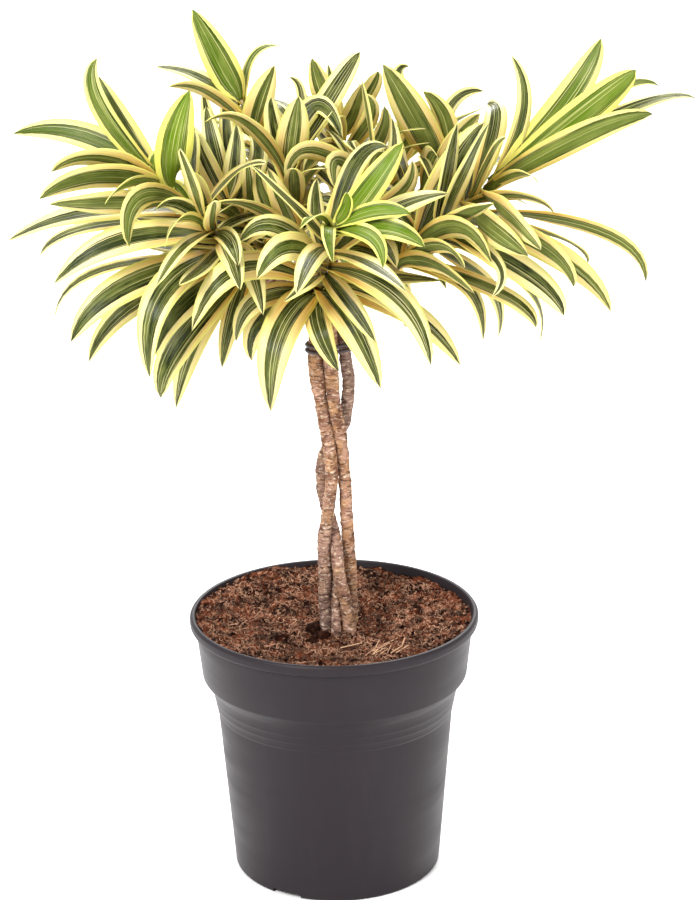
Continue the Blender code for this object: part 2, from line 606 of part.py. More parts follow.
def add_object(name, data, group, material=None):
    piece = bpy.data.objects.new(name, data)
    if material is not None:
        data.materials.clear()
        data.materials.append(material)
    group.objects.link(piece)
    return piece


def mesh_of(piece, name):
    """The mesh that an object's modifiers or bevel make, with the object then removed."""
    bpy.context.view_layer.update()
    shown = piece.evaluated_get(bpy.context.evaluated_depsgraph_get())
    mesh = bpy.data.meshes.new_from_object(shown)
    mesh.name = name
    bpy.data.objects.remove(piece)
    work = bmesh.new()
    work.from_mesh(mesh)
    bmesh.ops.remove_doubles(work, verts=work.verts, dist=0.001 * MM)
    bmesh.ops.recalc_face_normals(work, faces=work.faces)
    work.to_mesh(mesh)
    work.free()
    return mesh


def lofted_mesh(name, corners, faces):
    mesh = bpy.data.meshes.new(name)
    mesh.from_pydata(corners, [], faces)
    work = bmesh.new()
    work.from_mesh(mesh)
    bmesh.ops.recalc_face_normals(work, faces=work.faces)
    work.to_mesh(mesh)
    work.free()
    return mesh


def tube_mesh(name, points, radii, resolution, group):
    """A round rod along points, with a radius at each and its ends capped."""
    curve = bpy.data.curves.new(name, "CURVE")
    curve.dimensions = "3D"
    curve.bevel_depth = max(radii)
    curve.bevel_resolution = resolution
    curve.use_fill_caps = True
    spline = curve.splines.new("POLY")
    spline.points.add(len(points) - 1)
    for knot, point, radius in zip(spline.points, points, radii):
        knot.co = (*point, 1)
        knot.radius = radius / curve.bevel_depth
    return mesh_of(add_object(name, curve, group), name)


def turned_mesh(name, profile, sides, group):
    """A profile of (radius, height) turned once round the upright axis."""
    outline = bpy.data.meshes.new(name)
    outline.from_pydata([(radius, 0, height) for radius, height in profile],
                        [(step, step + 1) for step in range(len(profile) - 1)], [])
    piece = add_object(name, outline, group)
    screw = piece.modifiers.new("turn", "SCREW")
    screw.steps = sides
    screw.render_steps = sides
    screw.use_merge_vertices = True
    screw.merge_threshold = 0.01 * MM
    return mesh_of(piece, name)


def simplified(mesh, angle):
    """Flat and nearly straight edges taken out of a mesh."""
    work = bmesh.new()
    work.from_mesh(mesh)
    bmesh.ops.dissolve_limit(work, angle_limit=math.radians(angle), verts=work.verts, edges=work.edges)
    bmesh.ops.triangulate(work, faces=work.faces)
    work.to_mesh(mesh)
    work.free()
    return mesh


def fused_mesh(base, others, operation, name):
    """One body from a base object and others, joined to it or cut from it, which are then removed."""
    group = collection_named(name + "_parts")
    for other in others:
        for home in list(other.users_collection):
            home.objects.unlink(other)
        group.objects.link(other)
    change = base.modifiers.new("fuse", "BOOLEAN")
    change.operation = operation
    change.operand_type = "COLLECTION"
    change.collection = group
    change.solver = "EXACT"
    mesh = mesh_of(base, name)
    for other in list(group.objects):
        bpy.data.objects.remove(other)
    bpy.data.collections.remove(group)
    return mesh


def one_body(mesh):
    """A fused shoot without the crumbs that a union leaves where blades cross at the stem."""
    work = bmesh.new()
    work.from_mesh(mesh)
    rest = set(work.faces)
    bodies = []
    while rest:
        frontier = [rest.pop()]
        body = []
        while frontier:
            face = frontier.pop()
            body.append(face)
            for beside in {other for edge in face.edges for other in edge.link_faces} & rest:
                rest.remove(beside)
                frontier.append(beside)
        bodies.append(body)
    bodies.sort(key=len)
    bmesh.ops.delete(work, geom=[face for body in bodies[:-1] for face in body], context="FACES")
    work.to_mesh(mesh)
    work.free()
    return mesh


def smooth_shaded(mesh, angle):
    mesh.shade_smooth()
    mesh.set_sharp_from_angle(angle=math.radians(angle))
    return mesh


def pot_profile():
    """The pot's closed outline, from the middle of its floor up the inside and down the outside.

    The floor is raised between the foot ring and a flat pad in the middle.
    """
    inner_top = RIM_RADIUS - 4.6 * MM
    inside = [
        (0, PAD_TOP),
        (PAD_RADIUS - POT_WALL, PAD_TOP),
        (PAD_RADIUS, FLOOR_TOP),
        (FOOT_RADIUS - POT_WALL, FLOOR_TOP),
        (BODY_TOP_RADIUS - POT_WALL, BODY_TOP),
        (SHOULDER_FOOT_RADIUS - POT_WALL, SHOULDER_FOOT + 3 * MM),
        (COLLAR_FOOT_RADIUS - POT_WALL, COLLAR_FOOT + 2 * MM),
        (COLLAR_TOP_RADIUS - POT_WALL, POT_HEIGHT - RIM_BEAD - 2 * MM),
        (inner_top, POT_HEIGHT - 0.8 * MM),
    ]
    bead = [
        (inner_top + 0.8 * MM, POT_HEIGHT),
        (RIM_RADIUS - 1.6 * MM, POT_HEIGHT),
        (RIM_RADIUS, POT_HEIGHT - 2.2 * MM),
        (RIM_RADIUS - 0.2 * MM, POT_HEIGHT - 7.6 * MM),
        (RIM_RADIUS - 1.8 * MM, POT_HEIGHT - RIM_BEAD),
    ]
    outside = [
        (COLLAR_TOP_RADIUS, POT_HEIGHT - RIM_BEAD - 0.6 * MM),
        (COLLAR_FOOT_RADIUS, COLLAR_FOOT),
        (COLLAR_FOOT_RADIUS - 2.2 * MM, COLLAR_FOOT - 3 * MM),
        (SHOULDER_FOOT_RADIUS + 2.2 * MM, SHOULDER_FOOT + 3 * MM),
        (SHOULDER_FOOT_RADIUS, SHOULDER_FOOT),
        (BODY_TOP_RADIUS, BODY_TOP),
        (FOOT_RADIUS + 0.6 * MM, 2 * MM),
        (FOOT_RADIUS - 0.6 * MM, 0),
        (FOOT_RADIUS - FOOT_WIDTH, 0),
        (FOOT_RADIUS - FOOT_WIDTH - 1 * MM, FLOOR_UNDERSIDE),
        (PAD_RADIUS + POT_WALL, FLOOR_UNDERSIDE),
        (PAD_RADIUS, 0),
        (0, 0),
    ]
    return inside + bead + outside


def build_pot(model, cutters):
    pot = add_object("grower_pot", turned_mesh("grower_pot", pot_profile(), POT_SIDES, model), model,
                     painted("anthracite_plastic", (0.07, 0.062, 0.068), 0.6))
    work = bmesh.new()
    for angle in FOOT_NOTCHES:
        turn = Matrix.Rotation(math.radians(angle), 4, "Z")
        place = turn @ Matrix.Translation((FOOT_RADIUS, 0, 0))
        size = Matrix.Diagonal((4 * FOOT_WIDTH, NOTCH_WIDTH, 2 * NOTCH_HEIGHT, 1))
        bmesh.ops.create_cube(work, size=1, matrix=place @ size)
    for step in range(DRAIN_HOLES):
        turn = Matrix.Rotation(math.tau * (step + 0.5) / DRAIN_HOLES, 4, "Z")
        place = turn @ Matrix.Translation((DRAIN_CIRCLE, 0, FLOOR_TOP))
        bmesh.ops.create_cone(work, cap_ends=True, segments=8, radius1=DRAIN_RADIUS,
                              radius2=DRAIN_RADIUS, depth=4 * FLOOR_TOP, matrix=place)
    holes = bpy.data.meshes.new("pot_holes")
    work.to_mesh(holes)
    work.free()
    cutter = add_object("pot_holes", holes, cutters)
    cutter.hide_render = True
    cutter.display_type = "WIRE"
    cut = pot.modifiers.new("holes", "BOOLEAN")
    cut.operation = "DIFFERENCE"
    cut.object = cutter
    smooth_shaded(pot.data, 35)


def pot_inner_radius(height):
    """The pot's inside radius at a height."""
    inside = pot_profile()[3:9]
    for (low_radius, low), (high_radius, high) in zip(inside, inside[1:]):
        if height <= high:
            return low_radius + (high_radius - low_radius) * (height - low) / (high - low)
    return inside[-1][0]


def soil_height(x, y):
    """The coir's surface: a dish round the canes, hummocks, a rise to the left and a mound at the back."""
    reach = math.hypot(x, y) / RIM_RADIUS
    hummocks = math.sin(x / (19 * MM) + 1.1) * math.sin(y / (16 * MM) + 0.4)
    hummocks += 0.6 * math.sin(x / (8.5 * MM) + y / (13 * MM)) * math.cos(y / (9 * MM) - 0.7)
    slope = (0.2 * y - x) / RIM_RADIUS
    mound_x, mound_y, spread, rise = SOIL_MOUND
    mound = rise * math.exp(-((x - mound_x) ** 2 + (y - mound_y) ** 2) / spread ** 2)
    return SOIL_EDGE - SOIL_DISH * (1 - reach ** 2) + SOIL_RELIEF * (0.4 * hummocks + slope) + mound


def build_soil(model, canes):
    """The coir fills the pot from its floor, with a plain hole round each cane."""
    clear = SOIL_WALL_GAP
    top_radius = pot_inner_radius(SOIL_EDGE - 6 * MM) - clear
    bottom = FLOOR_TOP + SEAT_GAP
    profile = [(top_radius * ring / SOIL_RINGS, SOIL_EDGE) for ring in range(SOIL_RINGS + 1)]
    profile += [(pot_inner_radius(COLLAR_FOOT + 2 * MM) - clear, COLLAR_FOOT + 2 * MM),
                (pot_inner_radius(SHOULDER_FOOT + 3 * MM) - clear, SHOULDER_FOOT + 3 * MM),
                (pot_inner_radius(BODY_TOP) - clear, BODY_TOP),
                (pot_inner_radius(FLOOR_TOP) - clear, bottom),
                (PAD_RADIUS - clear, bottom),
                (PAD_RADIUS - POT_WALL - clear, PAD_TOP + SEAT_GAP),
                (0, PAD_TOP + SEAT_GAP)]
    mesh = turned_mesh("soil", profile, SOIL_SIDES, model)
    for corner in mesh.vertices:
        if corner.co.z > SOIL_EDGE - 0.1 * MM:
            corner.co.z = soil_height(corner.co.x, corner.co.y)
    soil = add_object("soil", mesh, model)
    holes = []
    for name, (radius, line) in canes.items():
        around = [radius + CANE_HOLE_CLEARANCE] * len(line)
        below = line[-1] + (line[-1] - line[-2]).normalized() * (2 * SEAT_GAP)
        holes.append(add_object(name + "_hole", tube_mesh(name + "_hole", line[:-1] + [below], around, 2, model),
                                model))
    mesh = simplified(fused_mesh(soil, holes, "DIFFERENCE", "soil"), 1)
    add_object("soil", mesh, model, painted("coir", (0.16, 0.085, 0.05), 0.95))


def cane_line_point(points, height):
    """A cane's centre at a height, on a smooth curve through its hand-set points."""
    for place in range(len(points) - 1):
        if points[place + 1][2] <= height:
            break
    high, low = points[place], points[place + 1]
    before = points[max(place - 1, 0)]
    after = points[min(place + 2, len(points) - 1)]
    span = low[2] - high[2]
    t = (height - high[2]) / span
    spot = []
    for axis in (0, 1):
        enter = (low[axis] - before[axis]) / (low[2] - before[2]) * span
        leave = (after[axis] - high[axis]) / (after[2] - high[2]) * span
        change = low[axis] - high[axis]
        spot.append(high[axis] + enter * t + (3 * change - 2 * enter - leave) * t ** 2
                    + (enter + leave - 2 * change) * t ** 3)
    return Vector((*spot, height)) * MM


def lean_between(line, other, level):
    """How far two canes' centre lines part for each metre of height."""
    above = max(level - 1, 0)
    below = min(level + 1, len(line) - 1)
    spread = (other[above] - line[above]) - (other[below] - line[below])
    return spread / (line[above].z - line[below].z)


def cane_lines():
    """Each cane's radius and centre line from its top to its foot, eased apart where they cross."""
    heights = list(range(CANE_TOP, CANE_FOOT, -CANE_STEP)) + [CANE_FOOT]
    lines = {name: [cane_line_point(points, height) for height in heights]
             for name, (radius, points) in CANES.items()}
    names = list(CANES)
    for settle in range(60):
        for level in range(len(heights)):
            for place, name in enumerate(names):
                for other in names[place + 1:]:
                    apart = lines[other][level] - lines[name][level]
                    drift = lean_between(lines[name], lines[other], level).dot(apart.normalized())
                    room = (CANES[name][0] + CANES[other][0]) * MM * math.sqrt(1 + drift ** 2) * CANE_SPACING
                    if apart.length < room:
                        push = apart.normalized() * ((room - apart.length) / 2)
                        lines[other][level] = lines[other][level] + push
                        lines[name][level] = lines[name][level] - push
    return {name: (CANES[name][0] * MM, line) for name, line in lines.items()}


def branch_line(cane_line, arc):
    """A branch's centre line from inside its cane's top to just under its shoot's foot."""
    start = cane_line[1]
    foot = arc[0]
    heading = arc_heading(arc, 0)
    end = foot - heading * SEAT_GAP
    reach = (end - start).length
    rise = start + (cane_line[0] - cane_line[1]).normalized() * (reach * 0.35)
    run_in = end - heading * (reach * 0.35)
    points = []
    for t in BRANCH_STATIONS:
        points.append(start * (1 - t) ** 3 + rise * (3 * t * (1 - t) ** 2)
                      + run_in * (3 * t ** 2 * (1 - t)) + end * t ** 3)
    return points


def build_canes(model, canes, arcs):
    """Each cane is fused with the branches that leave its top."""
    bark = painted("bark", (0.30, 0.17, 0.10), 0.85)
    for name, (radius, line) in canes.items():
        cane = add_object(name, tube_mesh(name, line, [radius] * len(line), 2, model), model)
        branches = []
        for shoot_name, shoot in SHOOTS.items():
            if shoot.cane != name:
                continue
            points = branch_line(line, arcs[shoot_name])
            sizes = [BRANCH_RADIUS * (0.9 + 0.1 * t) for t in BRANCH_STATIONS]
            mesh = tube_mesh(shoot_name + "_branch", points, sizes, 1, model)
            branches.append(add_object(shoot_name + "_branch", mesh, model))
        mesh = simplified(fused_mesh(cane, branches, "UNION", name), 3)
        add_object(name, smooth_shaded(mesh, 50), model, bark)


def cane_spot(line, height):
    """A cane's centre at a height in metres."""
    for high, low in zip(line, line[1:]):
        if low.z <= height:
            break
    return low.lerp(high, (height - low.z) / (high.z - low.z))


def tie_line(canes):
    """The cord's centre line: two turns that hug the canes."""
    points = []
    for step in range(TIE_TURNS * TIE_STEPS):
        angle = math.tau * (step / TIE_STEPS + 0.25)
        outward = Vector((math.cos(angle), math.sin(angle), 0))
        height = TIE_HEIGHT + (step / TIE_STEPS - TIE_TURNS / 2) * TIE_PITCH
        posts = [(cane_spot(line, height), radius) for radius, line in canes.values()]
        middle = sum((spot for spot, radius in posts), Vector()) / len(posts)
        reach = max((spot - middle).dot(outward) + radius for spot, radius in posts)
        points.append(middle + outward * ((reach + TIE_CORD + SEAT_GAP) * TIE_EASE))
    return points


def build_tie(model, canes):
    points = tie_line(canes)
    mesh = tube_mesh("cane_tie", points, [TIE_CORD] * len(points), 1, model)
    add_object("cane_tie", smooth_shaded(mesh, 50), model, painted("dark_cord", (0.03, 0.025, 0.025), 0.6))


def stem_loft(arc):
    """Corners and faces of a shoot's tapering stem, which ends in a point."""
    heading = arc_heading(arc, 0)
    side = square_to(UP if abs(heading.z) < 0.9 else Vector((0, 1, 0)), heading)
    across = heading.cross(side)
    corners = []
    for step in range(STEM_SIDES):
        angle = math.tau * step / STEM_SIDES
        corners.append(arc[0] + (side * math.cos(angle) + across * math.sin(angle)) * SHOOT_FOOT_RADIUS)
    corners.append(arc_point(arc, STEM_REACH))
    faces = [tuple(range(STEM_SIDES))]
    faces += [(step, (step + 1) % STEM_SIDES, STEM_SIDES) for step in range(STEM_SIDES)]
    return corners, faces


def rod_loft(line, radius):
    """Corners and triangles of a plain rod along a line."""
    corners = []
    side = Vector((0, 1, 0))
    for step, point in enumerate(line):
        heading = (line[min(step + 1, len(line) - 1)] - line[max(step - 1, 0)]).normalized()
        side = square_to(side, heading)
        across = heading.cross(side)
        for turn in range(ROD_SIDES):
            angle = math.tau * turn / ROD_SIDES
            corners.append(point + (side * math.cos(angle) + across * math.sin(angle)) * radius)
    corners.append(line[0])
    corners.append(line[-1])
    return corners, spindle_faces(len(line), ROD_SIDES)


def trunk_solids(canes, arcs):
    """What the leaves keep clear of: the canes, their branches, the tie and the shoots' stems."""
    solids = [Obstacle("", *rod_loft(line, radius + ROD_SPARE)) for radius, line in canes.values()]
    for name, shoot in SHOOTS.items():
        branch = branch_line(canes[shoot.cane][1], arcs[name])
        solids.append(Obstacle("", *rod_loft(branch, BRANCH_RADIUS + ROD_SPARE)))
        solids.append(Obstacle(name, *stem_loft(arcs[name])))
    solids.append(Obstacle("", *rod_loft(tie_line(canes), TIE_CORD + ROD_SPARE)))
    return solids


def build_heads(model, canes, arcs):
    """Each leafy shoot is one body: its stem and its leaves."""
    leaf_green = painted("variegated_leaf", (0.24, 0.32, 0.10), 0.4)
    stems = {name: stem_loft(arc) for name, arc in arcs.items()}
    blades = lay_out_leaves(arcs, trunk_solids(canes, arcs))
    for name, stem in stems.items():
        base = add_object(name, lofted_mesh(name, *stem), model)
        leaves = []
        for step, blade in enumerate(blades[name]):
            leaf_name = f"{name}_leaf_{step:02d}"
            leaves.append(add_object(leaf_name, lofted_mesh(leaf_name, *blade_loft(blade)), model))
        mesh = one_body(fused_mesh(base, leaves, "UNION", name))
        add_object(name, mesh, model, leaf_green)


def main():
    for piece in list(bpy.data.objects):
        bpy.data.objects.remove(piece)
    model = collection_named("potted_song_of_india")
    cutters = collection_named("cutters")
    arcs = {name: shoot_arc(shoot) for name, shoot in SHOOTS.items()}
    canes = cane_lines()
    build_pot(model, cutters)
    build_soil(model, canes)
    build_canes(model, canes, arcs)
    build_tie(model, canes)
    build_heads(model, canes, arcs)


main()
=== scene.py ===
import math
import random
from collections import namedtuple
from functools import partial

import bmesh
import bpy
from mathutils import Matrix, Vector, noise
from mathutils.bvhtree import BVHTree


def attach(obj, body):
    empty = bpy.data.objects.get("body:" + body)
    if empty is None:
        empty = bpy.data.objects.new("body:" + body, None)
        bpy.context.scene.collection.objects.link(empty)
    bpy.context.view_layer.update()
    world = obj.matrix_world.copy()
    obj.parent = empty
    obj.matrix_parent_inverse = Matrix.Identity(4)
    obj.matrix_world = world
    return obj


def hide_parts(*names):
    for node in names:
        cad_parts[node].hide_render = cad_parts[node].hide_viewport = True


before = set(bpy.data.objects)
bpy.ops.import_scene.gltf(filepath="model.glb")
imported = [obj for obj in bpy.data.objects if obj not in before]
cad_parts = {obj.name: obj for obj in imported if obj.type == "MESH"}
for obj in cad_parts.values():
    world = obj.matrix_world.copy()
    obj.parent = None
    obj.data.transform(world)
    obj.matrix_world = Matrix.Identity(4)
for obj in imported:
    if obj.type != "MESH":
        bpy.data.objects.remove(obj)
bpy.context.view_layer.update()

bl_info = {
    "name": "Potted Song of India",
    "version": (1, 0, 0),
    "blender": (4, 5, 0),
    "location": "View3D > Sidebar > Song of India",
    "description": "Leaves, bark, coir and pot of a braided song of india dracaena",
    "category": "Add Mesh",
}

MM = 0.001
UP = Vector((0, 0, 1))
SEAT_GAP = 0.3 * MM
BODY = "root"

# Pot: a moulded grower's pot 24 cm across the rim.
POT_HEIGHT = 225 * MM
RIM_RADIUS = 120 * MM
RIM_BEAD = 9.5 * MM
POT_WALL = 2.2 * MM
COLLAR_TOP_RADIUS = 115.2 * MM
COLLAR_FOOT_RADIUS = 110.4 * MM
COLLAR_FOOT = 172.5 * MM
SHOULDER_FOOT_RADIUS = 102.6 * MM
SHOULDER_FOOT = 162 * MM
BODY_TOP_RADIUS = 98 * MM
BODY_TOP = 139 * MM
FOOT_RADIUS = 86 * MM
FOOT_WIDTH = 6.5 * MM
FLOOR_UNDERSIDE = 5.5 * MM
FLOOR_TOP = 8 * MM
PAD_RADIUS = 24 * MM
PAD_TOP = 2.4 * MM
FOOT_NOTCHES = (-120, 0, 120)
NOTCH_WIDTH = 26 * MM
NOTCH_HEIGHT = 4 * MM
DRAIN_HOLES = 6
DRAIN_RADIUS = 4.5 * MM
DRAIN_CIRCLE = 48 * MM

# Coir: its surface is a little mounded and lies just under the rim.
SOIL_EDGE = 221.5 * MM
SOIL_DISH = 11 * MM
SOIL_RELIEF = 3 * MM
SOIL_MOUND = (-44 * MM, 84 * MM, 24 * MM, 6 * MM)

# Canes: radius, then the way from just above the tie down to the foot as (x, y, z) in millimetres.
CANE_TOP = 474
CANE_FOOT = 150
CANE_STEP = 15
CANE_SPACING = 1.08
CANES = {
    "cane_1": (5.2, [(-11.2, -1, 474), (-11.3, -1, 456), (-11.5, -2, 438), (-10.3, -3, 427),
                     (-8.3, -4, 410), (-6.4, -5, 400), (-3.7, -7, 385), (-1.9, -8.7, 371),
                     (-0.3, -9, 355), (-0.4, -8.5, 339), (-2, -7, 328), (-4.3, -5, 310),
                     (-6.8, -4, 285), (-7.2, -3.5, 268), (-6.6, -3, 240), (-6.7, -3, 205),
                     (-7, -3, 150)]),
    "cane_2": (5.2, [(0.3, -7.8, 474), (0.2, -7.6, 456), (0.4, -6.6, 438), (1.5, -6.5, 427),
                     (2.4, -7, 410), (4, -7, 397), (6.6, -6, 383), (8, -4.3, 370), (9.3, -2.5, 354),
                     (10.6, -1, 338), (11, 0, 325), (11.2, 1, 312), (12.2, 3, 295), (13.1, 5, 276),
                     (14.3, 8, 255), (14.6, 10, 225), (14, 11, 150)]),
    "cane_3": (5.1, [(11, 0, 474), (11.6, 0, 450), (13.4, 0, 437), (14.7, 0.5, 425),
                     (14.2, 1.2, 415), (13.2, 2.4, 406), (11.6, 5.5, 393), (7.5, 9, 380),
                     (0, 10.5, 371), (-5.5, 8, 362), (-7.6, 5, 352), (-8, 3.7, 340), (-7.7, 4.5, 330),
                     (-6, 7, 319), (-3, 6, 306), (-0.2, 2, 294), (2, -4, 282), (3.8, -8, 267),
                     (6.5, -8.5, 250), (9.9, -9, 229), (13, -9, 211), (14.5, -9, 150)]),
    "cane_4": (3.7, [(2, 7, 474), (2.5, 7.5, 456), (2.5, 9, 440), (1, 11, 420), (0, 13.5, 398),
                     (0, 16, 382), (-0.5, 18.5, 370), (-0.5, 15.5, 355), (-1.5, 13, 340),
                     (-3, 15, 325), (-4, 16.5, 312), (-4, 14, 298), (-3, 10, 284), (-1, 5, 268),
                     (1, 1, 250), (1.5, -5, 236), (1.5, -12, 220), (1.5, -16, 205), (1.5, -17, 150)]),
}
BRANCH_RADIUS = 3.7 * MM
BRANCH_STATIONS = (0, 0.16, 0.33, 0.5, 0.67, 0.83, 0.97, 1)

# Tie: two turns of dark cord round the canes.
TIE_HEIGHT = 455 * MM
TIE_CORD = 1.5 * MM
TIE_TURNS = 2
TIE_PITCH = 4.6 * MM
TIE_STEPS = 16
TIE_EASE = 1.025

# The front view that the leaves are laid out in: 698 x 900 pixels, from a standing viewer.
VIEW_PIXELS_HIGH = 900
VIEW_CENTRE = (349, 450)
VIEW_FOCAL = 2854
VIEW_DISTANCE = 2.2
VIEW_HEIGHT = 1.12
VIEW_TURN = 0.37
VIEW_PITCH = 18.93
VIEW_ROLL = -0.76

# Leafy shoots: the cane each grows from, its foot and its growing point as (pixel right, pixel
# down, millimetres nearer the viewer than the trunk), how many leaves, its first leaf's turn and how
# far its oldest leaves spread.
Shoot = namedtuple("Shoot", "cane foot tip leaves turn spread")
SHOOTS = {
    "head_01": Shoot("cane_1", (230, 243, 15), (153, 174, 55), 26, 20, 1.0),
    "head_02": Shoot("cane_1", (252, 268, 50), (203, 222, 95), 26, 140, 1.0),
    "head_03": Shoot("cane_2", (317, 294, 60), (334, 224, 112), 30, 250, 1.0),
    "head_04": Shoot("cane_3", (420, 236, 5), (497, 181, 20), 28, 310, 0.9),
    "head_05": Shoot("cane_3", (392, 268, 40), (447, 222, 78), 26, 60, 1.0),
    "head_06": Shoot("cane_1", (272, 192, -25), (241, 100, -20), 18, 80, 0.75),
    "head_07": Shoot("cane_1", (268, 256, -20), (224, 200, 15), 24, 204, 0.6),
    "head_08": Shoot("cane_2", (302, 248, 5), (286, 165, 10), 26, 110, 0.6),
    "head_09": Shoot("cane_4", (336, 216, -35), (340, 122, -50), 24, 170, 0.65),
    "head_10": Shoot("cane_3", (392, 238, -40), (447, 166, -50), 24, 30, 0.7),
    "head_11": Shoot("cane_4", (296, 236, -65), (262, 160, -115), 23, 290, 1.0),
    "head_12": Shoot("cane_4", (366, 236, -70), (398, 158, -120), 22, 350, 1.0),
    "head_13": Shoot("cane_2", (356, 250, 15), (378, 172, 5), 25, 45, 0.65),
}
SHOOT_FOOT_RADIUS = 5 * MM
STEM_REACH = 1.25
STEM_SIDES = 4

